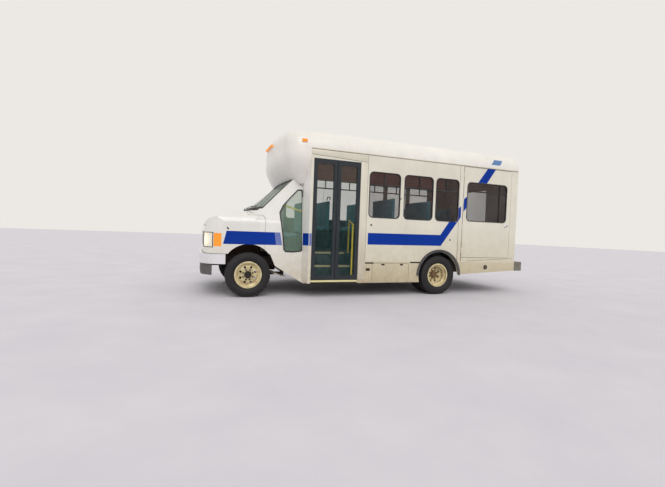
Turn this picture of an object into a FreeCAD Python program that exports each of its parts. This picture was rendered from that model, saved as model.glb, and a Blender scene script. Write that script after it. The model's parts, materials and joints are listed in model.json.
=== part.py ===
import FreeCAD, Part
import math
import os
import Sketcher
from FreeCAD import Placement, Rotation, Vector

# Cutaway-chassis minibus: a van front end, a square passenger body and twin rear wheels.
# X points forward, Y to the vehicle's left (the side of the entry door), Z up, in millimetres.
# The origin is on the ground at mid-length and mid-width. Places along the vehicle are written
# as distances behind the front axle, so a place ahead of that axle is negative.

doc = FreeCAD.newDocument("minibus")
sheet = doc.addObject("Spreadsheet::Sheet", "sizes")

# name, value, what it is
SIZES = [
    ("wheelbase", 3505, "front axle to rear axle"),
    ("front_overhang", 752, "bumper face ahead of the front axle"),
    ("rear_overhang", 2018, "rear bumper behind the rear axle"),
    ("body_half_width", 1195, "centreline to the outer face of a body side"),
    ("body_wall", 40, "whole thickness of a body side, rear wall or body door"),
    ("body_front", 945, "front edge of the body sides"),
    ("body_rear", 5330, "outer face of the rear wall"),
    ("drip_height", 2480, "top of the body sides, where the drip rail runs"),
    ("cove_inset", 275, "how far the roof cove comes in from the side"),
    ("cove_height", 337, "how far the cove rises above the drip rail"),
    ("cove_radius", 320, "radius of the roof cove"),
    ("crown_rise", 64, "rise of the roof crown above the coves"),
    ("roof_skin", 30, "thickness of the roof moulding"),
    ("skirt_top", 619, "seam between body side and skirt"),
    ("skirt_bottom", 241, "lower edge of the front skirt"),
    ("rear_skirt_low", 359, "lower edge of the rear skirt behind the arch"),
    ("rear_skirt_high", 454, "lower edge of the rear skirt at the rear corner"),
    ("skirt_skin", 30, "thickness of a skirt panel"),
    ("floor_top", 730, "cabin floor above the ground"),
    ("floor_skin", 40, "thickness of the floor"),
    ("sill_depth", 50, "height of the cross sills under the floor"),
    ("seam", 6, "gap round a door, hood or lid"),
    ("entry_front", 987, "front edge of the entry opening"),
    ("entry_rear", 1835, "rear edge of the entry opening"),
    ("entry_header", 162, "drip rail down to the head of the entry opening"),
    ("entry_bottom", 297, "threshold of the entry opening"),
    ("leaf_skin", 36, "thickness of an entry door leaf"),
    ("leaf_stile", 62, "width of a leaf's frame"),
    ("leaf_gap", 8, "gap between the two leaves"),
    ("glass_skin", 6, "thickness of the glass"),
    ("window_low", 1391, "lower edge of the left windows"),
    ("window_header", 301, "drip rail down to the left windows"),
    ("window_corner", 75, "corner radius of a window"),
    ("far_window_header", 180, "drip rail down to the right windows"),
    ("far_window_width", 545, "width of a right window"),
    ("far_window_first", 1342, "middle of the first right window"),
    ("far_window_pitch", 635, "spacing of the right windows"),
    ("lift_front", 4001, "front edge of the lift door"),
    ("lift_rear", 5157, "rear edge of the lift door"),
    ("lift_low", 712, "lower edge of the lift door"),
    ("lift_header", 30, "drip rail down to the lift door"),
    ("lift_window_front", 4085, "front edge of the lift door's window"),
    ("lift_window_rear", 5052, "rear edge of the lift door's window"),
    ("lift_window_low", 1418, "lower edge of the lift door's window"),
    ("lift_window_header", 321, "drip rail down to the lift door's window"),
    ("rear_door_half", 450, "half width of the rear door"),
    ("rear_door_low", 712, "lower edge of the rear door"),
    ("rear_door_header", 150, "drip rail down to the rear door"),
    ("locker_front", 2116, "front edge of the skirt locker"),
    ("locker_rear", 2844, "rear edge of the skirt locker"),
    ("locker_high", 585, "upper edge of the locker door"),
    ("cab_inset", 190, "body side to the cab's side"),
    ("cab_wall", 45, "whole thickness of the cab's side, door or hood frame"),
    ("cab_rear", 935, "rear end of the cab"),
    ("cap_front", 460, "front of the roof cap at the centreline"),
    ("cap_low", 1905, "lower edge of the roof cap's side"),
    ("cap_skin", 30, "thickness of the roof cap"),
    ("tyre_radius", 365, "tyre radius and hub height"),
    ("tyre_width", 218, "tyre section width"),
    ("rim_radius", 220, "outer radius of the rim flange"),
    ("rim_width", 176, "rim width over its flanges"),
    ("rim_skin", 9, "thickness of the wheel's steel"),
    ("front_rim_inset", 20, "cab's side to the outer face of the front rim"),
    ("rear_rim_inset", 30, "body side to the outer face of the outer rear rim"),
    ("twin_spacing", 262, "distance between the twin wheels' middles"),
    ("kingpin_depth", 195, "outer face of the front rim to the kingpin"),
    ("arch_radius", 415, "front wheel arch"),
    ("arch_height", 450, "centre of the front wheel arch above the ground"),
    ("rear_arch_radius", 440, "rear wheel arch"),
    ("rubber_width", 45, "width of the rubber lip round the rear arch"),
    ("rail_outer", 450, "outer face of a chassis rail from the centreline"),
    ("rail_width", 60, "flange width of a chassis rail"),
    ("rail_height", 170, "height of a chassis rail"),
    ("rail_skin", 10, "thickness of a chassis rail"),
]


class Size:
    """A length known as a sheet expression, for bound properties, and as its number."""

    def __init__(self, text, number):
        self.text = text
        self.number = number

    def __add__(self, other):
        other = size(other)
        return Size("(%s + %s)" % (self.text, other.text), self.number + other.number)

    def __sub__(self, other):
        other = size(other)
        return Size("(%s - %s)" % (self.text, other.text), self.number - other.number)

    def __rsub__(self, other):
        return size(other) - self

    def __mul__(self, other):
        other = size(other)
        return Size("(%s * %s)" % (self.text, other.text), self.number * other.number)

    def __truediv__(self, other):
        other = size(other)
        return Size("(%s / %s)" % (self.text, other.text), self.number / other.number)

    def __neg__(self):
        return Size("(0 - %s)" % self.text, -self.number)

    __radd__ = __add__
    __rmul__ = __mul__


def size(value):
    """The value as a Size, so that plain numbers and sheet sizes mix."""
    if isinstance(value, Size):
        return value
    return Size("(%r)" % float(value), float(value))


class Sheet:
    """Each size of the sheet as an attribute."""


S = Sheet()
for row, (name, value, note) in enumerate(SIZES, start=1):
    sheet.set("A%d" % row, name)
    sheet.set("B%d" % row, str(value))
    sheet.setAlias("B%d" % row, name)
    sheet.set("C%d" % row, note)
doc.recompute()
for name, value, note in SIZES:
    setattr(S, name, Size("sizes.%s" % name, float(sheet.get(name))))

# Places that follow from the sheet
S.entry_top = S.drip_height - S.entry_header
S.window_high = S.drip_height - S.window_header
S.far_window_high = S.drip_height - S.far_window_header
S.lift_high = S.drip_height - S.lift_header
S.lift_window_high = S.drip_height - S.lift_window_header
S.rear_door_high = S.drip_height - S.rear_door_header
S.cab_half_width = S.body_half_width - S.cab_inset
S.front_rim_face = S.cab_half_width - S.front_rim_inset
S.rear_rim_face = S.body_half_width - S.rear_rim_inset
S.kingpin_offset = S.front_rim_face - S.kingpin_depth

LEFT, RIGHT = 1, -1
SIDES = (("left", LEFT), ("right", RIGHT))
FRONT_AXLE = (S.rear_overhang + S.wheelbase - S.front_overhang) / 2
PARTS = []


def behind(distance):
    """X of a place that lies so far behind the front axle."""
    return FRONT_AXLE - distance


def x_at(distance):
    """X as a number of a place so far behind the front axle."""
    return behind(distance).number


# Sketches and features

def new_body(label):
    body = doc.addObject("PartDesign::Body", label)
    body.Label = label
    PARTS.append(body)
    return body


def new_sketch(body, name, role, offset=None):
    sketch = body.newObject("Sketcher::SketchObject", name)
    plane = [f for f in body.Origin.OriginFeatures if f.Role == role][0]
    sketch.AttachmentSupport = [(plane, "")]
    sketch.MapMode = "FlatFace"
    if offset is not None:
        sketch.setExpression("AttachmentOffset.Base.z", size(offset).text)
    return sketch


def pin(sketch, geometry, point, across, up):
    """Ties a point to the sketch's origin by two sizes."""
    for kind, value in (("DistanceX", across), ("DistanceY", up)):
        value = size(value)
        number = sketch.addConstraint(
            Sketcher.Constraint(kind, -1, 1, geometry, point, value.number))
        sketch.setExpression("Constraints[%d]" % number, value.text)


def arc_between(start, end, radius):
    """Arc from start to end; a positive radius bulges to the right of the way."""
    chord = end.sub(start)
    middle = (start + end) * 0.5
    normal = Vector(chord.y, -chord.x, 0).normalize()
    reach = math.sqrt(max(radius ** 2 - (chord.Length / 2) ** 2, 0))
    side = 1 if radius > 0 else -1
    centre = middle - normal * (reach * side)
    top = centre + normal * (abs(radius) * side)
    return Part.Arc(start, top, end)


def outline(sketch, points):
    """Closed outline of (across, up) corners; a third value is the radius of the arc that follows."""
    corners = [Vector(size(p[0]).number, size(p[1]).number, 0) for p in points]
    base = sketch.GeometryCount
    count = len(points)
    ends = []
    for index, point in enumerate(points):
        start, end = corners[index], corners[(index + 1) % count]
        if len(point) > 2:
            arc = arc_between(start, end, size(point[2]).number)
            added = sketch.addGeometry(arc, False)
            first = sketch.getPoint(added, 1).distanceToPoint(start) < 1e-3
            ends.append((1, 2) if first else (2, 1))
        else:
            sketch.addGeometry(Part.LineSegment(start, end), False)
            ends.append((1, 2))
    for index, point in enumerate(points):
        following = (index + 1) % count
        sketch.addConstraint(Sketcher.Constraint(
            "Coincident", base + index, ends[index][1], base + following, ends[following][0]))
        pin(sketch, base + index, ends[index][0], point[0], point[1])
        if len(point) > 2:
            radius = size(point[2])
            number = sketch.addConstraint(
                Sketcher.Constraint("Radius", base + index, abs(radius.number)))
            sketch.setExpression("Constraints[%d]" % number, "abs(%s)" % radius.text)


def rectangle(sketch, x0, y0, x1, y1):
    outline(sketch, [(x0, y0), (x1, y0), (x1, y1), (x0, y1)])


def round_rectangle(sketch, x0, y0, x1, y1, radius):
    """Rectangle from the lower left (x0, y0) to the upper right corner, with rounded corners."""
    outline(sketch, [
        (x0 + radius, y0), (x1 - radius, y0, radius),
        (x1, y0 + radius), (x1, y1 - radius, radius),
        (x1 - radius, y1), (x0 + radius, y1, radius),
        (x0, y1 - radius), (x0, y0 + radius, radius)])


def pad(body, sketch, length):
    made = body.newObject("PartDesign::Pad", sketch.Name + "_pad")
    made.Profile = sketch
    made.setExpression("Length", size(length).text)


def pocket(body, sketch):
    cut = body.newObject("PartDesign::Pocket", sketch.Name + "_pocket")
    cut.Profile = sketch
    cut.Type = "ThroughAll"
    cut.Midplane = True


# Solids worked out from the sheet by Part's own functions

def feature(label, shape, placement=Placement()):
    """A sub-part that holds a worked-out shape."""
    part = doc.addObject("Part::Feature", label)
    part.Label = label
    part.Shape = shape
    part.Placement = placement
    PARTS.append(part)
    return part


def block(s0, s1, y0, y1, z0, z1):
    """Box between two distances behind the front axle, two widths and two heights."""
    s0, s1, y0, y1, z0, z1 = (size(v).number for v in (s0, s1, y0, y1, z0, z1))
    low = Vector(x_at(max(s0, s1)), min(y0, y1), min(z0, z1))
    return Part.makeBox(abs(s1 - s0), abs(y1 - y0), abs(z1 - z0), low)


def side_outline(points, y):
    """Face with an outline of (behind, up) corners, seen from the side."""
    corners = [Vector(x_at(size(s).number), y, size(z).number) for s, z in points]
    return Part.Face(Part.makePolygon(corners + corners[:1]))


def side_prism(points, y0, y1):
    """Prism with a side-view outline of (behind, up) corners between two widths."""
    return side_outline(points, y0).extrude(Vector(0, y1 - y0, 0))


def plan_prism(points, z0, z1):
    """Prism with a plan outline of (behind, across) corners between two heights."""
    corners = [Vector(x_at(size(s).number), size(y).number, z0) for s, y in points]
    face = Part.Face(Part.makePolygon(corners + corners[:1]))
    return face.extrude(Vector(0, 0, z1 - z0))


def front_prism(points, s0, s1):
    """Prism with a front-view outline of (across, up) corners between two places."""
    corners = [Vector(x_at(s0), size(y).number, size(z).number) for y, z in points]
    face = Part.Face(Part.makePolygon(corners + corners[:1]))
    return face.extrude(Vector(s0 - s1, 0, 0))


def flat_bar(start, end, radius, sides):
    """Bar of so many flats between two points."""
    way = end.sub(start)
    across = way.cross(Vector(0, 0, 1) if abs(way.z) < 0.5 * way.Length else Vector(1, 0, 0)).normalize()
    up = way.cross(across).normalize()
    turns = [2 * math.pi * (n + 0.5) / sides for n in range(sides + 1)]
    ring = [start + across * (radius * math.sin(a)) + up * (radius * math.cos(a)) for a in turns]
    return Part.Face(Part.makePolygon(ring)).extrude(way)


WHEEL_SIDES = 24


def turned(section, sides=WHEEL_SIDES):
    """Solid of flat facets: a closed section of (along the axle, radius) taken round the Y axis,
    with one flat straight below the axle."""
    turns = [2 * math.pi * (n + 0.5) / sides for n in range(sides + 1)]

    def point(corner, angle):
        return Vector(corner[1] * math.sin(angle), corner[0], -corner[1] * math.cos(angle))
    faces = []
    for corner, following in zip(section, section[1:] + section[:1]):
        for first, second in zip(turns, turns[1:]):
            around = [point(corner, first), point(corner, second), point(following, second),
                      point(following, first)]
            ring = [p for n, p in enumerate(around) if p.distanceToPoint(around[n - 1]) > 1e-6]
            if len(ring) > 2:
                faces.append(Part.Face(Part.makePolygon(ring + ring[:1])))
    solid = Part.Solid(Part.Shell(faces))
    return solid if solid.Volume > 0 else solid.reversed()


def fused(shapes):
    result = shapes[0]
    if len(shapes) > 1:
        result = result.fuse(shapes[1:])
    return result.removeSplitter()


def mirrored(shape):
    """The same shape on the other side of the vehicle."""
    return shape.mirror(Vector(0, 0, 0), Vector(0, 1, 0))


# Body sides

LEFT_WINDOWS = [(2007, 2610), (2701, 3303), (3375, 3880)]  # front edge, rear edge
RIGHT_WINDOWS = 6
HIGH = S.drip_height


def wall_plane(side):
    """Sketch offset of a side wall, so that its pad ends at the outer face."""
    if side == LEFT:
        return -S.body_half_width
    return S.body_half_width - S.body_wall


def arch_outline(low):
    """Corners of the rear wheel arch from rear to front, with the arc between them."""
    rise = low - S.tyre_radius
    reach = Size("sqrt(%s ^ 2 - %s ^ 2)" % (S.rear_arch_radius.text, rise.text),
                 math.sqrt(S.rear_arch_radius.number ** 2 - rise.number ** 2))
    return [(behind(S.wheelbase + reach), low, -S.rear_arch_radius),
            (behind(S.wheelbase - reach), low)]


def left_wall():
    body = new_body("left_wall")
    panel = new_sketch(body, "left_wall_panel", "XZ_Plane", wall_plane(LEFT))
    outline(panel, [
        (behind(S.body_rear), S.skirt_top)] + arch_outline(S.skirt_top) + [
        (behind(S.entry_rear), S.skirt_top),
        (behind(S.entry_rear), S.entry_top),
        (behind(S.entry_front), S.entry_top),
        (behind(S.entry_front), S.skirt_bottom),
        (behind(S.body_front), S.skirt_bottom),
        (behind(S.body_front), HIGH),
        (behind(S.body_rear), HIGH)])
    pad(body, panel, S.body_wall)
    holes = new_sketch(body, "left_wall_windows", "XZ_Plane", wall_plane(LEFT))
    for front, rear in LEFT_WINDOWS:
        round_rectangle(holes, behind(rear), S.window_low, behind(front), S.window_high,
                        S.window_corner)
    rectangle(holes, behind(S.lift_rear + S.seam), S.lift_low - S.seam,
              behind(S.lift_front - S.seam), S.lift_high + S.seam)
    pocket(body, holes)


def right_window_places():
    """Middles of the right windows behind the front axle."""
    return [S.far_window_first + S.far_window_pitch * n for n in range(RIGHT_WINDOWS)]


def right_wall():
    body = new_body("right_wall")
    panel = new_sketch(body, "right_wall_panel", "XZ_Plane", wall_plane(RIGHT))
    outline(panel, [
        (behind(S.body_rear), S.skirt_top)] + arch_outline(S.skirt_top) + [
        (behind(S.body_front), S.skirt_top),
        (behind(S.body_front), HIGH),
        (behind(S.body_rear), HIGH)])
    pad(body, panel, S.body_wall)
    holes = new_sketch(body, "right_wall_windows", "XZ_Plane", wall_plane(RIGHT))
    half = S.far_window_width / 2
    for middle in right_window_places():
        round_rectangle(holes, behind(middle + half), S.window_low, behind(middle - half),
                        S.far_window_high, S.window_corner)
    pocket(body, holes)


left_wall()
right_wall()


COVE_START = 20  # height of the roof's upright strips above the drip rail


def crown_radius():
    """Radius of the roof's crown over its width between the coves."""
    edge = S.body_half_width - S.cove_inset
    return (edge * edge + S.crown_rise * S.crown_rise) / (S.crown_rise * 2)


def rear_wall():
    body = new_body("rear_wall")
    inner = S.body_half_width - S.body_wall
    panel = new_sketch(body, "rear_wall_panel", "YZ_Plane", behind(S.body_rear))
    rectangle(panel, -inner, S.skirt_top, inner, HIGH)
    pad(body, panel, S.body_wall)
    gable = new_sketch(body, "rear_wall_gable", "YZ_Plane", behind(S.body_rear))
    strip = S.body_half_width - S.roof_skin
    start, shoulder = HIGH + COVE_START, HIGH + S.cove_height - S.roof_skin
    edge = S.body_half_width - S.cove_inset
    cove = S.cove_radius - S.roof_skin
    outline(gable, [(-strip, HIGH), (strip, HIGH), (strip, start, cove),
                    (edge, shoulder, crown_radius() - S.roof_skin), (-edge, shoulder, cove),
                    (-strip, start)])
    pad(body, gable, S.body_wall)
    hole = new_sketch(body, "rear_wall_doorway", "YZ_Plane", behind(S.body_rear))
    half = S.rear_door_half + S.seam
    rectangle(hole, -half, S.rear_door_low - S.seam, half, S.rear_door_high + S.seam)
    pocket(body, hole)


rear_wall()


def roof_section(sketch, skin):
    """Roof moulding: side strips, coves and crown, closed along the inner face."""
    side, top = S.body_half_width, S.drip_height
    start = top + COVE_START
    edge, shoulder = side - S.cove_inset, top + S.cove_height
    crown = crown_radius()
    inner_edge, inner_shoulder = edge, shoulder - skin
    outline(sketch, [
        (side, top), (side, start, S.cove_radius),
        (edge, shoulder, crown), (-edge, shoulder, S.cove_radius),
        (-side, start), (-side, top),
        (skin - side, top), (skin - side, start, skin - S.cove_radius),
        (-inner_edge, inner_shoulder, -(crown - skin)),
        (inner_edge, inner_shoulder, skin - S.cove_radius),
        (side - skin, start), (side - skin, top)])


def roof():
    body = new_body("roof")
    section = new_sketch(body, "roof_section", "YZ_Plane", behind(S.body_rear))
    roof_section(section, S.roof_skin)
    pad(body, section, S.body_rear - S.body_front)


roof()

# Doors of the body

def panel_door(label, plane, offset, x0, z0, x1, z1, window, corner):
    """Door leaf with one window: plane, its offset, outline and window outline."""
    body = new_body(label)
    leaf = new_sketch(body, label + "_leaf", plane, offset)
    rectangle(leaf, x0, z0, x1, z1)
    pad(body, leaf, S.body_wall)
    hole = new_sketch(body, label + "_window", plane, offset)
    round_rectangle(hole, window[0], window[1], window[2], window[3], corner)
    pocket(body, hole)


def pane(body, name, plane, offset, x0, z0, x1, z1, corner):
    """Rounded sheet of glass in the middle of a wall."""
    sketch = new_sketch(body, name, plane, offset)
    round_rectangle(sketch, x0, z0, x1, z1, corner)
    pad(body, sketch, S.glass_skin)


GLASS_DEPTH = S.body_wall / 2 - S.glass_skin / 2


def lift_door():
    panel_door("lift_door", "XZ_Plane", wall_plane(LEFT),
               behind(S.lift_rear), S.lift_low, behind(S.lift_front), S.lift_high,
               (behind(S.lift_window_rear), S.lift_window_low,
                behind(S.lift_window_front), S.lift_window_high), S.window_corner)
    glass = new_body("lift_door_glass")
    pane(glass, "lift_pane", "XZ_Plane", wall_plane(LEFT) + GLASS_DEPTH,
         behind(S.lift_window_rear), S.lift_window_low,
         behind(S.lift_window_front), S.lift_window_high, S.window_corner)


def rear_door():
    half = S.rear_door_half
    inset = 90
    panel_door("rear_door", "YZ_Plane", behind(S.body_rear),
               -half, S.rear_door_low, half, S.rear_door_high,
               (inset - half, S.window_low, half - inset, S.window_high), S.window_corner)
    glass = new_body("rear_door_glass")
    pane(glass, "rear_pane", "YZ_Plane", behind(S.body_rear) + GLASS_DEPTH,
         inset - half, S.window_low, half - inset, S.window_high, S.window_corner)


def entry_leaf(name, front, rear):
    """Full-glass leaf between two places behind the front axle."""
    label = "entry_door_" + name
    low, high = S.entry_bottom + S.seam, S.entry_top - S.seam
    offset = -(S.body_half_width - 2)
    body = new_body(label)
    frame = new_sketch(body, label + "_frame", "XZ_Plane", offset)
    rectangle(frame, behind(rear), low, behind(front), high)
    pad(body, frame, S.leaf_skin)
    hole = new_sketch(body, label + "_opening", "XZ_Plane", offset)
    corners = (behind(rear) + S.leaf_stile, low + S.leaf_stile * 1.2,
               behind(front) - S.leaf_stile, high - S.leaf_stile * 1.2)
    round_rectangle(hole, corners[0], corners[1], corners[2], corners[3], 30)
    pocket(body, hole)
    glass = new_body("entry_glass_" + name)
    pane(glass, label + "_pane", "XZ_Plane", offset + S.leaf_skin / 2 - S.glass_skin / 2,
         corners[0], corners[1], corners[2], corners[3], 30)


lift_door()
rear_door()
ENTRY_MIDDLE = (S.entry_front + S.entry_rear) / 2
entry_leaf("front", S.entry_front + S.seam, ENTRY_MIDDLE - S.leaf_gap / 2)
entry_leaf("rear", ENTRY_MIDDLE + S.leaf_gap / 2, S.entry_rear - S.seam)


# Fixed side glass

def side_glass():
    """Fixed panes of both body sides."""
    glass = new_body("side_glass")
    glass.AllowCompound = True
    left = new_sketch(glass, "left_panes", "XZ_Plane", wall_plane(LEFT) + GLASS_DEPTH)
    for front, rear in LEFT_WINDOWS:
        round_rectangle(left, behind(rear), S.window_low, behind(front), S.window_high,
                        S.window_corner)
    pad(glass, left, S.glass_skin)
    right = new_sketch(glass, "right_panes", "XZ_Plane", wall_plane(RIGHT) + GLASS_DEPTH)
    half = S.far_window_width / 2
    for middle in right_window_places():
        round_rectangle(right, behind(middle + half), S.window_low, behind(middle - half),
                        S.far_window_high, S.window_corner)
    pad(glass, right, S.glass_skin)


side_glass()


# Skirts, the locker and the rubber lips of the rear arches

def skirts():
    """Skirt panels below the seam on both sides, as one sub-part of separate panels."""
    solids = []
    inner = S.body_half_width - S.skirt_skin
    arch = S.rear_arch_radius.number + S.rubber_width.number
    hub = S.tyre_radius.number
    top = S.skirt_top
    gap = S.seam
    for side in (LEFT, RIGHT):
        y0 = min((inner * side).number, (S.body_half_width * side).number)
        y1 = y0 + S.skirt_skin.number
        first = S.entry_rear if side == LEFT else S.body_front
        front = side_prism([(first, top), (first, S.skirt_bottom),
                            (S.wheelbase - arch + 60, S.skirt_bottom), (S.wheelbase, top)], y0, y1)
        rear = side_prism([(S.wheelbase, top), (S.wheelbase, S.rear_skirt_low),
                           (S.body_rear, S.rear_skirt_high), (S.body_rear, top)], y0, y1)
        wheel = Part.makeCylinder(S.rear_arch_radius.number, y1 - y0,
                                  Vector(x_at(S.wheelbase.number), y0, hub), Vector(0, 1, 0))
        panels = front.fuse(rear).cut(wheel)
        if side == LEFT:
            panels = panels.cut(block(S.locker_front - gap, S.locker_rear + gap,
                                      y0, y1, S.skirt_bottom - 1, S.locker_high + gap))
        solids.append(panels)
    feature("skirts", fused(solids))


def locker():
    """Lid of the skirt locker."""
    body = new_body("locker_door")
    lid = new_sketch(body, "locker_lid", "XZ_Plane", -S.body_half_width)
    outline(lid, [(behind(S.locker_rear), S.skirt_bottom), (behind(S.locker_front), S.skirt_bottom),
                  (behind(S.locker_front), S.locker_high), (behind(S.locker_rear), S.locker_high)])
    pad(body, lid, S.skirt_skin)


LIP_STAND = 12


def arch_lips():
    """Rubber lips that stand out round the rear arches."""
    hub = S.tyre_radius.number
    inner, outer = S.rear_arch_radius.number, S.rear_arch_radius.number + S.rubber_width.number
    solids = []
    for side in (LEFT, RIGHT):
        y0 = S.body_half_width.number if side == LEFT else -S.body_half_width.number - LIP_STAND
        centre = Vector(x_at(S.wheelbase.number), y0, hub)
        ring = Part.makeCylinder(outer, LIP_STAND, centre, Vector(0, 1, 0))
        ring = ring.cut(Part.makeCylinder(inner, LIP_STAND, centre, Vector(0, 1, 0)))
        low = block(S.wheelbase - 2 * outer, S.wheelbase + 2 * outer, y0 - 1, y0 + LIP_STAND + 1,
                    hub - 2 * outer, hub)
        solids.append(ring.cut(low))
    feature("arch_lips", Part.makeCompound(solids))


LOCKER_DEPTH = 395
LOCKER_SKIN = 8


def locker_box():
    """Open-fronted box behind the locker door, hung from the floor's sills."""
    outer_end = S.body_half_width.number - S.body_wall.number - SEAT_GAP
    inner_end = outer_end - LOCKER_DEPTH
    low, high = S.skirt_bottom.number + 9, S.floor_top.number - S.floor_skin.number - S.sill_depth.number
    front, rear = S.locker_front - 2 * S.seam, S.locker_rear + 2 * S.seam
    skin = LOCKER_SKIN
    outer = block(front, rear, inner_end, outer_end, low, high)
    hollow = block(front + skin, rear - skin, inner_end + skin, outer_end + 1, low + skin, high - skin)
    feature("locker_box", outer.cut(hollow))


SEAT_GAP = 0.3  # clearance between pieces that seat against each other
skirts()
locker()
locker_box()
arch_lips()


# Floor, entry steps and wheelhouses

STEP_RISE = 220
STEP_SKIN = 20
STEP_TO_RAIL = 90
STEP_TO_DOOR = 45
HOUSE_SKIN = 20
HOUSE_CLEARANCE = 66
HOUSE_RISE = 150
SILLS = (1000, 1950, 2600, 4100, 4650, 5230)  # front edges behind the front axle
SILL_WIDTH = 50


def step_inner():
    """Inner edge of the upper tread, clear of the chassis rail."""
    return S.rail_outer.number + STEP_TO_RAIL


def house_inner():
    """Outer face of the wheelhouse's wall beside the inner twin tyre."""
    tyre_side = S.rear_rim_face - S.twin_spacing - S.rim_width / 2 - S.tyre_width / 2
    return tyre_side.number - HOUSE_CLEARANCE


def house_top():
    return 2 * S.tyre_radius.number + HOUSE_RISE


def floor():
    """Cabin floor with its cross sills, open over the steps and the rear wheels."""
    inner = S.body_half_width - S.body_wall
    low = S.floor_top - S.floor_skin
    solids = [block(S.body_front, S.body_rear - S.body_wall, -inner, inner, low, S.floor_top)]
    for place in SILLS:
        solids.append(block(place, place + SILL_WIDTH, -inner, inner, low - S.sill_depth, low))
    shape = fused(solids)
    half = S.rear_arch_radius.number + 20
    front, rear = S.wheelbase - half, S.wheelbase + half
    near, skin, top = house_inner(), HOUSE_SKIN, house_top()
    for side in (LEFT, RIGHT):
        shape = shape.cut(block(front, rear, near * side, inner * side, 0, 1000))
        outer = block(front - skin, rear + skin, (near - skin) * side, inner * side, low, top)
        hollow = block(front, rear, near * side, inner * side, low - 1, top - skin)
        shape = shape.fuse(outer.cut(hollow))
    well = block(S.entry_front - STEP_SKIN, S.entry_rear + STEP_SKIN, step_inner() - STEP_SKIN,
                 inner.number, 0, S.floor_top + 1)
    feature("floor", shape.cut(well).removeSplitter())


def steps():
    """Entry steps between the threshold and the floor."""
    outer, inner = S.body_half_width.number - STEP_TO_DOOR, step_inner()
    middle = (inner + outer) / 2
    skin = STEP_SKIN
    front, rear = S.entry_front.number - skin, S.entry_rear.number + skin
    top = S.floor_top.number
    tread = top - 2 * STEP_RISE
    section = [(outer, tread), (middle, tread), (middle, tread + STEP_RISE),
               (inner, tread + STEP_RISE), (inner, top)]
    under = [(inner - skin, top), (inner - skin, tread + STEP_RISE - skin),
             (middle - skin, tread + STEP_RISE - skin), (middle - skin, tread - skin),
             (outer, tread - skin)]
    flight = front_prism(section + under, front, rear)
    cheek_top = top - S.floor_skin.number
    cheeks = [block(place, place + skin, inner - skin, outer, tread - skin, cheek_top)
              for place in (front, rear - skin)]
    feature("entry_steps", fused([flight] + cheeks))


floor()
steps()


# Chassis

CROSS_MEMBERS = (-590, 960, 1500, 2400, 3150, 4050, 5100)  # front edges behind the front axle


def rail_top():
    return (S.floor_top - S.floor_skin - S.sill_depth).number


def rail_bottom():
    return rail_top() - S.rail_height.number


def rail_middle():
    return (S.rail_outer - S.rail_width / 2).number


def chassis():
    """Ladder frame: two channel rails and their cross members."""
    top, low = rail_top(), rail_bottom()
    width, skin, outer = S.rail_width.number, S.rail_skin.number, S.rail_outer.number
    front, rear = -600, S.body_rear.number - 60
    rail = block(front, rear, outer - width, outer, low, top)
    rail = rail.cut(block(front, rear, outer - width, outer - skin, low + skin, top - skin))
    members = [block(place, place + 70, -outer + skin, outer - skin, low + 30, top - 30)
               for place in CROSS_MEMBERS]
    feature("chassis_frame", fused([rail, mirrored(rail)] + members))


chassis()


# Running gear

AXLE_RADIUS = 48
PINION_LENGTH = 290
SHAFT_RADIUS = 35
SHAFT_FRONT = 950
SHAFT_HEIGHT = 440


def engine():
    """Engine and gearbox as one plain block, with the shaft to the rear axle."""
    hub = S.tyre_radius.number
    rear = S.wheelbase.number - PINION_LENGTH - SEAT_GAP
    solids = [block(-470, 300, -250, 250, 500, 1060),
              block(300, SHAFT_FRONT, -150, 150, 400, 680),
              flat_bar(Vector(x_at(SHAFT_FRONT - 10), 0, SHAFT_HEIGHT), Vector(x_at(rear - 12), 0, hub),
                       SHAFT_RADIUS, 12),
              flat_bar(Vector(x_at(rear - 30), 0, hub), Vector(x_at(rear), 0, hub), 55, 12)]
    feature("engine", fused(solids))


def hung_arm(side):
    """Trailing arm of the front axle and the bracket that hangs it from the rail."""
    hub = S.tyre_radius.number
    middle = rail_middle()
    arm = block(35, 700, side * (middle - 20), side * (middle + 20), hub - 60, hub - 10)
    bracket = block(640, 700, side * (middle - 25), side * (middle + 25), hub - 60, rail_bottom())
    return [arm, bracket]


def front_axle():
    """Beam with its kingpin bosses, trailing arms and spring seats."""
    hub = S.tyre_radius.number
    pin_y = S.kingpin_offset.number
    solids = [block(-35, 35, 75 - pin_y, pin_y - 75, hub - 75, hub + 5)]
    for side in (LEFT, RIGHT):
        boss_y = side * (pin_y - 62)
        solids.append(block(-40, 40, boss_y - 15, boss_y + 15, hub - 80, hub + 80))
        for level in (hub - 80, hub + 50):
            solids.append(block(-30, 30, side * (pin_y - 60), side * (pin_y + 22), level, level + 30))
        seat = Vector(x_at(0), side * rail_middle(), hub + 5)
        solids.append(flat_bar(seat, seat + Vector(0, 0, rail_bottom() - hub - 5), 55, 12))
        solids += hung_arm(side)
    feature("front_axle", fused(solids))


def knuckle(name, side):
    """Steering knuckle: the block on the kingpin, the spindle and the brake disc."""
    hub = S.tyre_radius.number
    pin_y = S.kingpin_offset.number * side

    def spot(out):
        return Vector(x_at(0), pin_y + side * out, hub)
    solids = [block(-28, 28, pin_y - side * 20, pin_y + side * 28, hub - 49.7, hub + 49.7),
              flat_bar(spot(0), spot(62), 40, 12),
              flat_bar(spot(50), spot(62), 140, WHEEL_SIDES)]
    feature("knuckle_" + name, fused(solids))


# Leaves of a rear spring from the top: half length and lower face above the axle's middle
LEAVES = [(640, 75), (420, 61), (220, 47)]
LEAF_SKIN = 14


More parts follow.
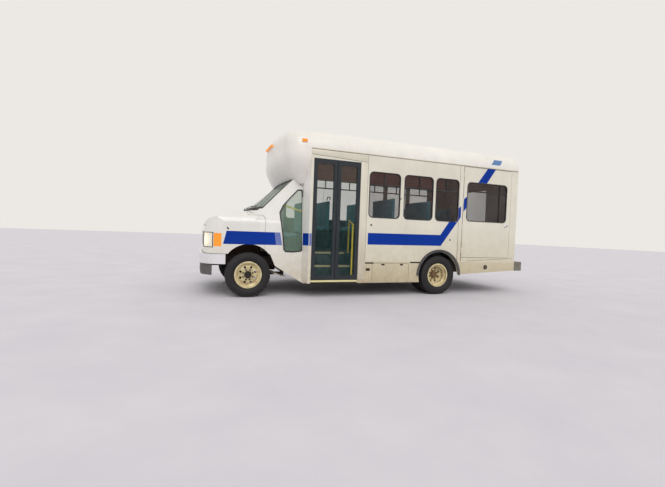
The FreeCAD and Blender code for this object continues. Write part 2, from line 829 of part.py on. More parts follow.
def rear_spring(side):
    """Stepped pack of leaves below the rail, its clamp and its two hangers."""
    hub = S.tyre_radius.number
    back = S.wheelbase.number
    y0, y1 = side * (rail_middle() - 28), side * (rail_middle() + 28)
    solids = [block(back - reach, back + reach, y0, y1, hub + low, hub + low + LEAF_SKIN)
              for reach, low in LEAVES]
    solids.append(block(back - 60, back + 60, y0, y1, hub - 65, hub + LEAVES[0][1] + LEAF_SKIN))
    for place in (-LEAVES[0][0], LEAVES[0][0]):
        solids.append(block(back + place - 25, back + place + 25, y0, y1, hub + LEAVES[0][1],
                            rail_bottom()))
    return solids


def rear_axle():
    """Rear axle with its differential, leaf springs and spring hangers."""
    hub = S.tyre_radius.number
    back = S.wheelbase.number
    end = S.rear_rim_face.number - S.twin_spacing.number - HUB_REAR - SEAT_GAP
    solids = [flat_bar(Vector(x_at(back), -end, hub), Vector(x_at(back), end, hub), AXLE_RADIUS, 12)]
    # ahead and behind of the axle, radius: the differential's casing from pinion to cover
    for ahead, behind_axle, radius in ((PINION_LENGTH, 0, 68), (170, 0, 105), (75, 75, 150), (0, 115, 118)):
        solids.append(flat_bar(Vector(x_at(back - ahead), 0, hub), Vector(x_at(back + behind_axle), 0, hub),
                               radius, 16))
    for side in (LEFT, RIGHT):
        solids += rear_spring(side)
    feature("rear_axle", fused(solids))


TANK_HALF = 370
EXHAUST_HEIGHT = 520


def fuel_tank():
    """Tank behind the axle on two bars between the rails."""
    tank = block(4200, 5040, -TANK_HALF, TANK_HALF, 330, 600)
    edges = [e for e in tank.Edges if abs(e.tangentAt(e.FirstParameter).x) > 0.9]
    web = S.rail_outer.number - S.rail_skin.number - 1
    bars = [block(place, place + 60, -web, web, 580, 620) for place in (4340, 4840)]
    feature("fuel_tank", fused([tank.makeFillet(50, edges)] + bars))


def exhaust():
    """Pipe and silencer under the right side, hung from the floor's sills."""
    y = -(S.rail_outer.number + 150)
    solids = []
    # front and rear ends behind the front axle, radius, flats
    for front, rear, radius, flats in ((850, 1600, 32, 10), (1600, 2300, 105, 16), (2300, 2700, 32, 10)):
        solids.append(flat_bar(Vector(x_at(front), y, EXHAUST_HEIGHT), Vector(x_at(rear), y, EXHAUST_HEIGHT),
                               radius, flats))
    for place, low in ((1955, 600), (2605, 540)):
        solids.append(block(place, place + 40, y - 20, y + 20, low, rail_top()))
    feature("exhaust", fused(solids))


HUB_REAR = 60
engine()
front_axle()
for name, side in SIDES:
    knuckle(name, side)
rear_axle()
fuel_tank()
exhaust()


# Wheels

HAND_HOLES = 8
HAND_RING = 128
HAND_RADIUS = 20
SEAT_DROP = 14
WELL_DROP = 44


def barrel_outside():
    """Outer contour of a rim from flange to flange, as (behind the outer face, radius)."""
    flange, width = S.rim_radius.number, S.rim_width.number
    seat, well = flange - SEAT_DROP, flange - WELL_DROP
    return [(0, flange), (12, seat), (48, seat), (60, well), (width - 58, well), (width - 46, seat),
            (width - 12, seat), (width, flange)]


def front_rim_section():
    """Half section of a front wheel with its disc near the outer face and its hub."""
    flange, width, skin = S.rim_radius.number, S.rim_width.number, S.rim_skin.number
    lip, well = flange - SEAT_DROP - skin, flange - WELL_DROP - skin
    hub_rear = S.kingpin_depth.number - HUB_TO_KNUCKLE
    return [(-14, 0), (-14, 40), (-4, 52), (30, 58), (30, 100), (22, 122), (34, 146), (56, well),
            (44, lip), (0, lip)] + barrel_outside() + [
            (width, lip), (width - 42, lip), (width - 54, well), (56 + skin, well),
            (34 + skin, 146 - skin), (22 + skin, 122), (30 + skin, 100), (30 + skin, 58),
            (hub_rear, 58), (hub_rear, 0)]


def rear_rims_section():
    """Half section of a pair of rear wheels: a deep dish outside, a plain rim inside, one hub."""
    flange, width, skin = S.rim_radius.number, S.rim_width.number, S.rim_skin.number
    lip, well = flange - SEAT_DROP - skin, flange - WELL_DROP - skin
    second = S.twin_spacing.number
    disc = width - 30
    return [(105, 0), (105, 44), (117, 60), (disc, 60), (disc, 100), (disc + 8, 122), (disc - 4, 146),
            (width - 54, well), (56, well), (44, lip), (0, lip)] + barrel_outside() + [
            (width, lip), (width - 42, lip), (disc - 4 + skin, 146 + skin), (disc + 8 + skin, 122),
            (disc + skin, 100), (disc + skin, 60), (second + 30, 60), (second + 30, 150),
            (second + 44, lip), (second, lip), (second, flange), (second + 12, flange - SEAT_DROP),
            (second + width - 12, flange - SEAT_DROP), (second + width, flange), (second + width, lip),
            (second + 44 + 2 * skin, lip), (second + 30 + skin, 150 - skin), (second + 30 + skin, 60),
            (second + HUB_REAR, 60), (second + HUB_REAR, 0)]


HUB_TO_KNUCKLE = 62 + SEAT_GAP


def rim(label, section, face, side, distance):
    """Steel wheel of flat facets with its ring of hand holes."""
    solid = turned([((face - depth) * side, radius) for depth, radius in section])
    cutters = []
    for number in range(HAND_HOLES):
        angle = 2 * math.pi * (number + 0.5) / HAND_HOLES
        spot = Vector(HAND_RING * math.cos(angle), 0, HAND_RING * math.sin(angle))
        cutters.append(flat_bar(spot, spot + Vector(0, face * side, 0), HAND_RADIUS, 6))
    feature(label, solid.cut(Part.makeCompound(cutters)), wheel_place(distance))


def tyre(middle):
    """Hollow tyre whose beads stand on the rim's seats, with its flats at the tread's radius."""
    crown = S.tyre_radius.number / math.cos(math.pi / WHEEL_SIDES)
    flange, half, rim_half = S.rim_radius.number, S.tyre_width.number / 2, S.rim_width.number / 2
    seat = flange - SEAT_DROP + SEAT_GAP
    wall = crown - flange
    outside = [(rim_half - 12.5, seat), (rim_half + 2, flange + 3.2), (half - 2, flange + 0.28 * wall),
               (half, flange + 0.49 * wall), (half - 8, flange + 0.80 * wall), (half - 24, crown)]
    inside = [(half - 30, crown - 18), (rim_half + 5, flange + 0.28 * wall), (rim_half - 30, seat)]
    right = outside + [(-y, r) for y, r in reversed(outside)]
    hollow = [(-y, r) for y, r in reversed(inside)] + inside
    return turned([(middle + y, r) for y, r in right + hollow])


def wheel_place(distance):
    return Placement(Vector(x_at(distance), 0, S.tyre_radius.number), Rotation())


def wheels():
    rim_half = S.rim_width.number / 2
    front, rear = S.front_rim_face.number, S.rear_rim_face.number
    spacing = S.twin_spacing.number
    back = S.wheelbase.number
    for name, side in SIDES:
        feature("front_tyre_" + name, tyre((front - rim_half) * side), wheel_place(0))
        rim("front_rim_" + name, front_rim_section(), front, side, 0)
        twins = [tyre((face - rim_half) * side) for face in (rear, rear - spacing)]
        feature("rear_tyres_" + name, Part.makeCompound(twins), wheel_place(back))
        rim("rear_rims_" + name, rear_rims_section(), rear, side, back)


wheels()


# Van front end and cab

CAB = S.cab_half_width.number
CAB_OUTSIDE, CAB_INSIDE = CAB + 195, CAB - 205  # widths that take in a whole cab side
NOSE = -700
NOSE_BOW = 18
CORNER = 330
BODY_LOW = 705
NOSE_TOP, NOSE_RADIUS, NOSE_TURN = 1110, 170, math.radians(65)
COWL = (40, 1422)
HOOD_SLOPE = math.radians(25)
LOWER_EDGE = [(935, 216), (919, 216), (430, 513), (345, BODY_LOW)]  # behind the front axle, up
CAB_TOP = 2040
BELT = 1180
TUMBLEHOME = 115
ALL_AROUND = 1100  # half width beyond every cab side


def plan_outline(nose, half, corner, bow, rear, z):
    """Closed plan outline with a bowed front and corners that run smoothly into the sides."""
    turn, near, side = nose + corner, nose + bow, half - corner * 0.8
    away = half - side
    radius = ((corner - bow) ** 2 + away ** 2) / (2 * away)
    angle = (math.atan2(radius - away, corner - bow) + math.pi / 2) / 2
    round_s, round_y = turn - radius * math.cos(angle), half - radius + radius * math.sin(angle)

    def point(s, y):
        return Vector(x_at(s), y, z)
    return Part.Wire([
        Part.Arc(point(near, -side), point(nose, 0), point(near, side)).toShape(),
        Part.Arc(point(near, side), point(round_s, round_y), point(turn, half)).toShape(),
        Part.makeLine(point(turn, half), point(rear, half)),
        Part.makeLine(point(rear, half), point(rear, -half)),
        Part.makeLine(point(rear, -half), point(turn, -half)),
        Part.Arc(point(turn, -half), point(round_s, -round_y), point(near, -side)).toShape()])


def nose_slab(nose, half, corner, bow, rear, low, high):
    """The plan outline raised between two heights."""
    return Part.Face(plan_outline(nose, half, corner, bow, rear, low)).extrude(Vector(0, 0, high - low))


def hood_curve(inset, y):
    """Side profile from the grille's top round the nose to the cowl, in two arcs that meet smoothly."""
    radius = NOSE_RADIUS - inset
    centre = (NOSE + NOSE_RADIUS, NOSE_TOP)

    def around(angle):
        return Vector(x_at(centre[0] - radius * math.cos(angle)), y, centre[1] + radius * math.sin(angle))
    brow = around(NOSE_TURN)
    cowl = Vector(x_at(COWL[0]), y, COWL[1] - inset)
    chord = cowl.sub(brow)
    lift = math.tan((HOOD_SLOPE - math.atan2(chord.z, -chord.x)) / 2) * chord.Length / 2
    normal = Vector(chord.z, 0, -chord.x).normalize()
    middle = (brow + cowl) * 0.5 + normal * lift
    return [Part.Arc(around(0), around(NOSE_TURN / 2), brow).toShape(),
            Part.Arc(brow, middle, cowl).toShape()]


def lower_form(inset):
    """Van body below the belt: side profile, plan and cross section held in common."""
    i = inset
    drop = 300 if i else 0
    back = 40 if i else 0
    y0 = -ALL_AROUND

    def point(s, z):
        return Vector(x_at(s), y0, z)
    corners = [COWL, (S.cab_rear.number + back, COWL[1])]
    edge = [(s + (back if s > 900 else 0), z - drop) for s, z in LOWER_EDGE]
    path = [point(s, z - i) for s, z in corners] + [point(s, z) for s, z in edge]
    path += [point(NOSE + i, BODY_LOW - drop), point(NOSE + i, NOSE_TOP)]
    profile = Part.Wire(hood_curve(i, y0) + Part.makePolygon(path).Edges)
    side = Part.Face(profile).extrude(Vector(0, 2 * ALL_AROUND, 0))
    half = CAB - i
    slab = nose_slab(NOSE + i, half, CORNER - i, NOSE_BOW, 1000, 0, 1800)
    x0, x1 = x_at(1000), x_at(NOSE - 60)
    shoulder, turn, crown = 1200, 1312 - i, 1440 - i
    edge_y, edge_z = half - 145, 1372 - i

    def across(y, z):
        return Vector(x0, y, z)
    section = Part.Wire([
        Part.Arc(across(-edge_y, edge_z), across(0, crown), across(edge_y, edge_z)).toShape(),
        Part.Arc(across(edge_y, edge_z), across(half - 42, turn), across(half, shoulder)).toShape(),
        Part.makeLine(across(half, shoulder), across(half, -200)),
        Part.makeLine(across(half, -200), across(-half, -200)),
        Part.makeLine(across(-half, -200), across(-half, shoulder)),
        Part.Arc(across(-half, shoulder), across(42 - half, turn), across(-edge_y, edge_z)).toShape()])
    bar = Part.Face(section).extrude(Vector(x1 - x0, 0, 0))
    return side.common(slab).common(bar)


def bowed_plan(z, centre, corner, half, rear):
    """Plan outline whose bow passes the centre and both corners and runs on beyond the cab's sides."""
    rise = corner - centre
    radius = (half ** 2 + rise ** 2) / (2 * rise)
    wide = centre + radius - math.sqrt(radius ** 2 - ALL_AROUND ** 2)

    def point(s, y):
        return Vector(x_at(s), y, z)
    bow = Part.Arc(point(wide, ALL_AROUND), point(centre, 0), point(wide, -ALL_AROUND)).toShape()
    rest = Part.makePolygon([point(wide, -ALL_AROUND), point(rear, -ALL_AROUND), point(rear, ALL_AROUND),
                             point(wide, ALL_AROUND)])
    return Part.Wire([bow] + rest.Edges)


def greenhouse(inset):
    """Cab above the belt: flat leaning sides held in common with the bowed, raked screen."""
    i = inset
    rear = S.cab_rear.number + (40 if i else 0)
    top = CAB_TOP - i
    half, top_half = CAB - i, CAB - i - TUMBLEHOME * (1 - i / (CAB_TOP - BELT))
    sides = front_prism([(half, BELT), (top_half, top), (-top_half, top), (-half, BELT)], -500, rear)
    # how far the screen comes back for each millimetre of inset, at its foot and at its head
    foot = bowed_plan(BELT, -288 + 1.55 * i, 22 + 1.4 * i, half, rear)
    head = bowed_plan(top, 740 + 0.355 * i, 788 + 0.51 * i, top_half, rear)
    return sides.common(Part.makeLoft([foot, head], True, True))


def van_form(inset):
    return lower_form(inset).fuse(greenhouse(inset))


def between(outer, inner):
    """The skin between two depths below the van's outer surface."""
    return van_form(outer).cut(van_form(inner))


HOOD_HALF = CAB - 185
HOOD_REAR = -20
HOOD_LOW = 1150
SCREEN = [(CAB - 150, 1478), (CAB - 205, 1985)]  # half width, up
# side outlines as behind the front axle, up
SIGHT_WINDOW = [(548, 1517), (679, 1666), (800, 1795), (862, 1800), (876, 1770), (880, 802), (860, 770),
                (726, 752), (600, 756), (572, 790), (547, 1029), (520, 1200), (493, 1400)]
DOOR = [(450, 540), (440, 700), (345, 860), (300, 1100), (300, 1330), (345, 1425), (745, 1893),
        (850, 1893), (850, 540)]
DOOR_SWING_ROOM = [(840, 540), (859, 534), (859, 1180), (875, 1899), (840, 1899)]
DOOR_WINDOW = [(455, 1440), (762, 1800), (812, 1800), (816, 1440)]
FENDER = [(-760, 650), (-760, 1500), (-22, 1500), (-22, 1338), (200, 1338), (250, 1290), (250, 650)]
LAMP_LOW, LAMP_HIGH = 803, 1035
LAMP_INNER, LAMP_OUTER = CAB - 415, CAB - 62
SIGNAL_INNER, SIGNAL_OUTER, SIGNAL_REAR = CAB - 57, CAB + 5, -430
GRILLE_HALF = CAB - 445
GRILLE_LOW, GRILLE_HIGH = 815, 1060
GRILLE_ROWS, GRILLE_COLUMNS = 4, 8
GRILLE_BAR = 6


def front_glass(shell):
    """Cuts the screen and the sight windows from the shell and returns it with their panes."""
    mirrored_screen = [(-y, z) for y, z in reversed(SCREEN)]
    screen = front_prism(SCREEN + mirrored_screen, -400, 860)
    windshield = between(14, 14 + S.glass_skin.number).common(screen)
    sight = side_prism(SIGHT_WINDOW, CAB_INSIDE, ALL_AROUND)
    pane_skin = between(16, 16 + S.glass_skin.number)
    feature("cab_glass", Part.makeCompound([windshield, pane_skin.common(sight)]))
    window = side_prism(DOOR_WINDOW, -ALL_AROUND, -CAB_INSIDE)
    feature("driver_door_glass", pane_skin.common(window))
    return shell.cut(screen).cut(sight)


def door_panel(shell):
    """Takes the driver's door out of the shell and returns the shell with its doorway."""
    door = side_prism(DOOR, -ALL_AROUND, -CAB_INSIDE)
    window = side_prism(DOOR_WINDOW, -ALL_AROUND, -CAB_INSIDE)
    feature("driver_door", shell.common(door).cut(window))
    outline_face = side_outline(DOOR, -CAB_OUTSIDE).makeOffset2D(S.seam.number, 2)
    doorway = outline_face.extrude(Vector(0, CAB_OUTSIDE - CAB_INSIDE, 0))
    return shell.cut(doorway.fuse(side_prism(DOOR_SWING_ROOM, -CAB_OUTSIDE, -CAB_INSIDE)))


def lamps_and_fenders(fenders):
    """Cuts the lamps' and the grille's openings from the fenders and fills them."""
    lens = lower_form(4).cut(lower_form(60))
    lamps, signals = [], cap_markers()
    for side in (LEFT, RIGHT):
        hole = block(NOSE - 60, NOSE + 300, side * LAMP_INNER, side * LAMP_OUTER, LAMP_LOW, LAMP_HIGH)
        lamps.append(lens.common(hole))
        corner_hole = block(NOSE - 60, SIGNAL_REAR, side * SIGNAL_INNER, side * SIGNAL_OUTER,
                            LAMP_LOW + 15, LAMP_HIGH - 8)
        signals.append(lens.common(corner_hole))
        fenders = fenders.cut(hole).cut(corner_hole)
    grille_hole = block(NOSE - 60, NOSE + 200, -GRILLE_HALF, GRILLE_HALF, GRILLE_LOW, GRILLE_HIGH)
    feature("front_fenders", fenders.cut(grille_hole))
    feature("head_lamps", Part.makeCompound(lamps))
    feature("amber_lamps", Part.makeCompound(signals))
    feature("grille", grille(grille_hole))


def grille(hole):
    """Egg-crate grille between the head lamps."""
    skin = lower_form(6).cut(lower_form(34)).common(hole)
    height = (GRILLE_HIGH - GRILLE_LOW - 20) / GRILLE_ROWS
    width = (2 * GRILLE_HALF - 20) / GRILLE_COLUMNS
    openings = []
    for row in range(GRILLE_ROWS):
        z0 = GRILLE_LOW + 10 + row * height
        for column in range(GRILLE_COLUMNS):
            y0 = -GRILLE_HALF + 10 + column * width
            openings.append(block(NOSE - 60, NOSE + 200, y0 + GRILLE_BAR, y0 + width - GRILLE_BAR,
                                  z0 + GRILLE_BAR, z0 + height - GRILLE_BAR))
    return skin.cut(Part.makeCompound(openings))


def van_panels():
    gap = S.seam.number
    shell = between(0, S.cab_wall.number)
    arch = Part.makeCylinder(S.arch_radius.number, 2 * ALL_AROUND,
                             Vector(x_at(0), -ALL_AROUND, S.arch_height.number), Vector(0, 1, 0))
    shell = shell.cut(arch)
    hood_block = block(NOSE - 60, HOOD_REAR, -HOOD_HALF, HOOD_HALF, HOOD_LOW, 1500)
    feature("hood", shell.common(hood_block).removeSplitter())
    shell = shell.cut(block(NOSE - 60, HOOD_REAR + 2 * gap, -HOOD_HALF - gap, HOOD_HALF + gap,
                            HOOD_LOW - gap, 1500))
    shell = door_panel(front_glass(shell))
    fenders = shell.common(side_prism(FENDER, -ALL_AROUND, ALL_AROUND))
    rest = [(s + (4 if s > -30 else 0), z + (4 if z > 1200 else 0)) for s, z in FENDER]
    feature("cab_shell", shell.cut(side_prism(rest, -ALL_AROUND, ALL_AROUND)))
    lamps_and_fenders(fenders)


# Roof cap over the cab

CAP_ROUND = 280
CAP_CORNER = 380
CAP_FOOT = 15
# share of the height from the cap's lower edge to the drip rail, how far the front stands back
CAP_UNDER = [(0.0, 300), (0.148, 195), (0.557, 30), (0.757, -4)]
CAP_FULL = 0.617  # share of that height at which the cap is as wide as the body
COVE_STEPS = 5
CROWN_STEPS = (0.4, 0.75, 0.93, 0.985)  # shares of the rise from the coves to the crown
BOW_STEPS = 6
CORNER_STEPS = 5


def cap_levels(inset):
    """Rows of (height, front, half width) from the cap's lower edge to its crown."""
    i = inset
    low, drip = S.cap_low.number, S.drip_height.number
    front, half = S.cap_front.number, S.body_half_width.number
    foot = CAB + CAP_FOOT
    shoulder = drip + S.cove_height.number
    top = shoulder + S.crown_rise.number

    def front_at(z):
        rise = z - (top - CAP_ROUND)
        if rise < 0:
            return front + i
        return front + CAP_ROUND - math.sqrt((CAP_ROUND - i) ** 2 - rise ** 2)
    rows = []
    for share, back in CAP_UNDER:
        lean = min(share / CAP_FULL, 1)
        rows.append((low + share * (drip - low) + (0 if share else i), front + back + i,
                     foot + lean * (half - foot) - i))
    start, radius = drip + COVE_START, S.cove_radius.number - i
    rows.append((start, front + i, half - i))
    last = math.asin((S.cove_height.number - COVE_START) / S.cove_radius.number)
    for step in range(1, COVE_STEPS + 1):
        angle = last * step / COVE_STEPS
        z = start + radius * math.sin(angle)
        rows.append((z, front_at(z), half - S.cove_radius.number + radius * math.cos(angle)))
    shoulder, edge = rows[-1][0], rows[-1][2]
    for share in CROWN_STEPS:
        z = shoulder + share * (top - i - shoulder)
        rows.append((z, front_at(z), edge * math.sqrt(1 - share)))
    return rows


def cap_ring(z, front, half, rear):
    """Corners of the cap's plan at a height: a bowed front, rounded corners and straight sides."""
    corner = min(CAP_CORNER, 0.85 * (rear - front), 0.9 * half)
    bow, away = corner / 4, corner * 0.8
    side = half - away
    turn = ((corner - bow) ** 2 + away ** 2) / (2 * away)
    begin = math.atan2(turn - away, corner - bow)
    wide = (side ** 2 + bow ** 2) / (2 * bow)
    reach = math.asin(side / wide)
    plan = []
    for step in range(BOW_STEPS + 1):
        angle = reach * (2 * step / BOW_STEPS - 1)
        plan.append((front + wide * (1 - math.cos(angle)), wide * math.sin(angle)))
    rounding = []
    for step in range(1, CORNER_STEPS + 1):
        angle = begin + (math.pi / 2 - begin) * step / CORNER_STEPS
        rounding.append((front + corner - turn * math.cos(angle), half - turn + turn * math.sin(angle)))
    plan += rounding + [(rear, half), (rear, -half)] + [(s, -y) for s, y in reversed(rounding)]
    return [Vector(x_at(s), y, z) for s, y in plan]


def skinned(rings):
    """Solid of flat faces through rings of equal counts, closed by the first and the last ring."""
    faces = [Part.Face(Part.makePolygon(ring + ring[:1])) for ring in (rings[0], rings[-1])]
    for low, high in zip(rings, rings[1:]):
        for n in range(len(low)):
            for corners in ((low[n - 1], low[n], high[n]), (low[n - 1], high[n], high[n - 1])):
                faces.append(Part.Face(Part.makePolygon(corners + corners[:1])))
    solid = Part.Solid(Part.Shell(faces))
    return solid if solid.Volume > 0 else solid.reversed()


def cap_form(inset):
    """Overhanging moulding, in flats from its lower edge over the coves to the crown."""
    rear = S.body_front.number + (40 if inset else 0)
    levels = cap_levels(inset)
    if inset:
        levels = levels[:1] + levels[2:3] + levels[4:-1:2] + levels[-1:]  # the inside needs fewer
    return skinned([cap_ring(z, front, half, rear) for z, front, half in levels])


MARKER_HEIGHT = 2640
SIDE_MARKER = (775, 860, 2560, 2604)  # front and rear behind the front axle, low, high


def cap_markers():
    """Clearance lamps on the cap's front and corners."""
    form = cap_form(0)
    face, z = S.cap_front.number, MARKER_HEIGHT
    bevel = [(face + 60, z - 30), (face - 30, z - 18), (face - 38, z), (face - 30, z + 18), (face + 60, z + 30)]
    lumps = [side_prism(bevel, y - 50, y + 50) for y in (-200, 0, 200)]
    front, rear, low, high = SIDE_MARKER
    wide = S.body_half_width.number
    lumps += [block(front, rear, side * (wide - 60), side * (wide + LIP_STAND), low, high)
              for side in (LEFT, RIGHT)]
    return [lump.cut(form) for lump in lumps]


def roof_cap():
    cap = cap_form(0).cut(cap_form(S.cap_skin.number)).cut(greenhouse(0))
    feature("roof_cap", cap)


CORNER_FRONT = 882
CORNER_DEPTH = 145


def front_corners():
    """Upright panels between the cab's sides, the cap and the body's front edge."""
    low, high = S.skirt_bottom.number, S.drip_height.number
    front, half = S.body_front.number, S.body_half_width.number
    form = van_form(0).fuse(cap_form(0))
    solids = []
    for side in (LEFT, RIGHT):
        pillar = plan_prism([(CORNER_FRONT, (CAB - CORNER_DEPTH) * side), (CORNER_FRONT, (CAB + 1) * side),
                             (front - 5, half * side), (front, half * side),
                             (front, (CAB - CORNER_DEPTH) * side)], low, high)
        solids.append(pillar.cut(form))
    feature("front_corners", Part.makeCompound(solids))


van_panels()
roof_cap()
front_corners()


# Bumpers

TOW_HOLE_RADIUS = 12.8
TOW_HOLE_PLACE = 5430
PLATE_HOLE_RADIUS = 3.5
PLATE_PITCH = 178
PLATE_HEIGHT = 540
BUMPER_SKIN = 8


def front_bumper():
    """Bowed bumper on two brackets and the valance below it."""
    face = -S.front_overhang.number
    middle = rail_middle()
    outer = nose_slab(face, CAB - 2, 360, 14, -362, 540, 698)
    inner = nose_slab(face + 46, CAB - 47, 320, 14, -300, 530, 710)
    brackets = [block(face + 40, -600, side * (middle - 25), side * (middle + 25), 560, 630)
                for side in (LEFT, RIGHT)]
    feature("front_bumper", fused([outer.cut(inner)] + brackets))
    outer = nose_slab(face + 17, CAB - 45, 330, 14, -380, 360, 540 - SEAT_GAP)
    inner = nose_slab(face + 37, CAB - 65, 310, 14, -380, 350, 545)
    feature("front_valance", outer.cut(inner).cut(block(-560, -300, -CAB, CAB, 300, 600)))


def rear_bumper():
    """Open-backed step bumper with its tow hole and plate holes, on two arms."""
    half, skin = S.body_half_width.number, BUMPER_SKIN
    rear = S.wheelbase.number + S.rear_overhang.number
    front = S.body_rear.number + 8
    middle = rail_middle()
    shell = block(front, rear, -half, half, 450, 630)
    shell = shell.cut(block(front - 1, rear - skin, skin - half, half - skin, 440, 630 - skin))
    arms = [block(S.body_rear - 60, rear - skin, side * (middle - 28), side * (middle + 28), 500, 600)
            for side in (LEFT, RIGHT)]
    bar = fused([shell] + arms)
    bar = bar.cut(Part.makeCylinder(TOW_HOLE_RADIUS, 60, Vector(x_at(TOW_HOLE_PLACE), 0, 590)))
    for side in (LEFT, RIGHT):
        spot = Vector(x_at(rear + 20), side * PLATE_PITCH / 2, PLATE_HEIGHT)
        bar = bar.cut(Part.makeCylinder(PLATE_HOLE_RADIUS, 40, spot, Vector(1, 0, 0)))
    feature("rear_bumper", bar)


front_bumper()
rear_bumper()


# Inside

PANEL_GAP = 5  # clearance of inner pieces from the cab's panels


def cab_floor():
    """Toe board and floor, narrowed where they pass the corner panels."""
    section = [(945, 690), (945, 730), (560, 730), (440, 860), (395, 1150), (365, 1150), (412, 840), (540, 690)]
    inner = CAB - S.cab_wall.number
    shape = side_prism(section, PANEL_GAP + 1 - inner, inner - SEAT_GAP)
    clear = CAB - CORNER_DEPTH - SEAT_GAP
    for side in (LEFT, RIGHT):
        shape = shape.cut(block(S.cab_rear, S.body_front + 1, side * clear, side * CAB, 600, 800))
    feature("cab_floor", shape)


COLUMN_SLOPE = math.radians(32)
COLUMN_RADIUS = 28
COLUMN_LENGTH = 240
DRIVER_MIDDLE = 510 - CAB


def wheel_centre():
    return Vector(x_at(600), DRIVER_MIDDLE - 15, 1300)


def dashboard():
    section = [(150, 1320), (330, 1355), (420, 1300), (440, 1150), (340, 1150), (150, 1200)]
    way = Vector(math.cos(COLUMN_SLOPE), 0, -math.sin(COLUMN_SLOPE))
    column = Part.makeCylinder(COLUMN_RADIUS + SEAT_GAP, 300, wheel_centre(), way)
    board = side_prism(section, 80 - CAB, CAB - 80).common(van_form(S.cab_wall.number + PANEL_GAP))
    feature("dashboard", board.cut(column))


def steering_wheel():
    """Rim with three spokes on its column, tilted to the driver."""
    rim_middle, rim_half = 190, 14
    turns = [math.radians(60 * n) for n in range(6)]
    section = [(rim_half * math.sin(a), rim_middle + rim_half * math.cos(a)) for a in turns]
    wheel = turned(section)
    wheel.rotate(Vector(0, 0, 0), Vector(1, 0, 0), 90)
    spokes = [Part.makeBox(rim_middle, 26, 8, Vector(0, -13, -4)) for n in range(3)]
    for number, spoke in enumerate(spokes):
        spoke.rotate(Vector(0, 0, 0), Vector(0, 0, 1), 90 * number - 180)
    column = flat_bar(Vector(0, 0, -COLUMN_LENGTH), Vector(0, 0, 10), COLUMN_RADIUS, 16)
    tilt = Rotation(Vector(0, 1, 0), math.degrees(COLUMN_SLOPE) - 90)
    feature("steering_wheel", fused([wheel, column] + spokes), Placement(wheel_centre(), tilt))


SEATS_RIGHT = [1300, 2060, 2820, 3580, 4340]  # front edges behind the front axle
SEATS_LEFT = [2060, 2820]
SEAT_HEIGHT = 1130
SEAT_WIDTH = 860
SEAT_TO_WALL = 25
DRIVER_HALF = 250


def seats():
    """Benches beside the aisle and the driver's seat: soft blocks on frames."""
    cushions, frames = [], []
    floor_top = S.floor_top.number
    house = S.rear_arch_radius.number + 40
    outer = (S.body_half_width - S.body_wall).number - SEAT_TO_WALL
    inner = outer - SEAT_WIDTH
    rows = [(RIGHT, place) for place in SEATS_RIGHT] + [(LEFT, place) for place in SEATS_LEFT]
    for side, place in rows:
        y0, y1 = side * inner, side * outer
        cushions.append(block(place, place + 430, y0, y1, SEAT_HEIGHT, SEAT_HEIGHT + 100))
        cushions.append(block(place + 440, place + 520, y0, y1, SEAT_HEIGHT, SEAT_HEIGHT + 640))
        frame = [block(place, place + 520, y0, y1, SEAT_HEIGHT - 30, SEAT_HEIGHT)]
        for near, far in ((inner + 30, inner + 70), (outer - 70, outer - 30)):
            for s0 in (place + 60, place + 420):
                over_wheel = abs(s0 + 20 - S.wheelbase.number) < house and near > house_inner() - HOUSE_SKIN
                foot = house_top() if over_wheel else floor_top
                frame.append(block(s0, s0 + 40, side * near, side * far, foot, SEAT_HEIGHT - 30))
        frames.append(fused(frame))
    y0, y1 = DRIVER_MIDDLE - DRIVER_HALF, DRIVER_MIDDLE + DRIVER_HALF
    cushions.append(block(700, 1130, y0, y1, 960, 1060))
    cushions.append(block(1140, 1230, y0, y1, 960, 1700))
    pan = block(700, 1230, y0, y1, 930, 960)
    frames.append(pan.fuse(block(800, 1130, y0 + 90, y1 - 90, floor_top, 930)))
    feature("seat_cushions", Part.makeCompound(cushions))
    feature("seat_frames", Part.makeCompound(frames))


def rail(points, radius):
    """Bent rail of flats through the points, mitred at its corners."""
    start, way = points[0], points[1].sub(points[0])
    across = way.cross(Vector(0, 1, 0) if abs(way.y) < 0.5 * way.Length else Vector(0, 0, 1)).normalize()
    up = way.cross(across).normalize()
    turns = [math.radians(45 * n) for n in range(9)]
    ring = [start + across * (radius * math.cos(a)) + up * (radius * math.sin(a)) for a in turns]
    return Part.makePolygon(points).makePipeShell([Part.makePolygon(ring)], True, False, 1)


def grab_rails():
    """Rail beside the entry steps and rail across the sight window."""
    def at(s, y, z):
        return Vector(x_at(s), y, z)
    foot, head = S.body_half_width.number - 95, step_inner() + 80
    tread = S.floor_top.number - 2 * STEP_RISE
    entry = rail([at(1758, foot, tread), at(1758, foot, 1250), at(1880, head, 1330),
                  at(1880, head, S.floor_top.number)], 16)
    near = CAB - 115
    sight = rail([at(500, near + 60, 1550), at(580, near, 1528), at(860, near, 1448),
                  at(905, near + 60, 1435)], 14)
    inside = van_form(S.cab_wall.number + SEAT_GAP)
    feature("grab_rails", Part.makeCompound([entry, sight.common(inside)]))


cab_floor()
dashboard()
steering_wheel()
seats()
grab_rails()


# Lamps and mirror

def tail_lamps():
    """Round lamps up the rear corners and clearance lamps over the door."""
    face, half = S.body_rear.number, S.body_half_width.number
    solids = []
    for side in (LEFT, RIGHT):
        for z in (860, 1000, 1140):
            spot = Vector(x_at(face), side * (half - 145), z)
            solids.append(flat_bar(spot, spot - Vector(25, 0, 0), 55, 16))
    for y in (195 - half, -150, 0, 150, half - 195):
        solids.append(block(face, face + 20, y - 35, y + 35, 2400, 2440))
    feature("tail_lamps", Part.makeCompound(solids))


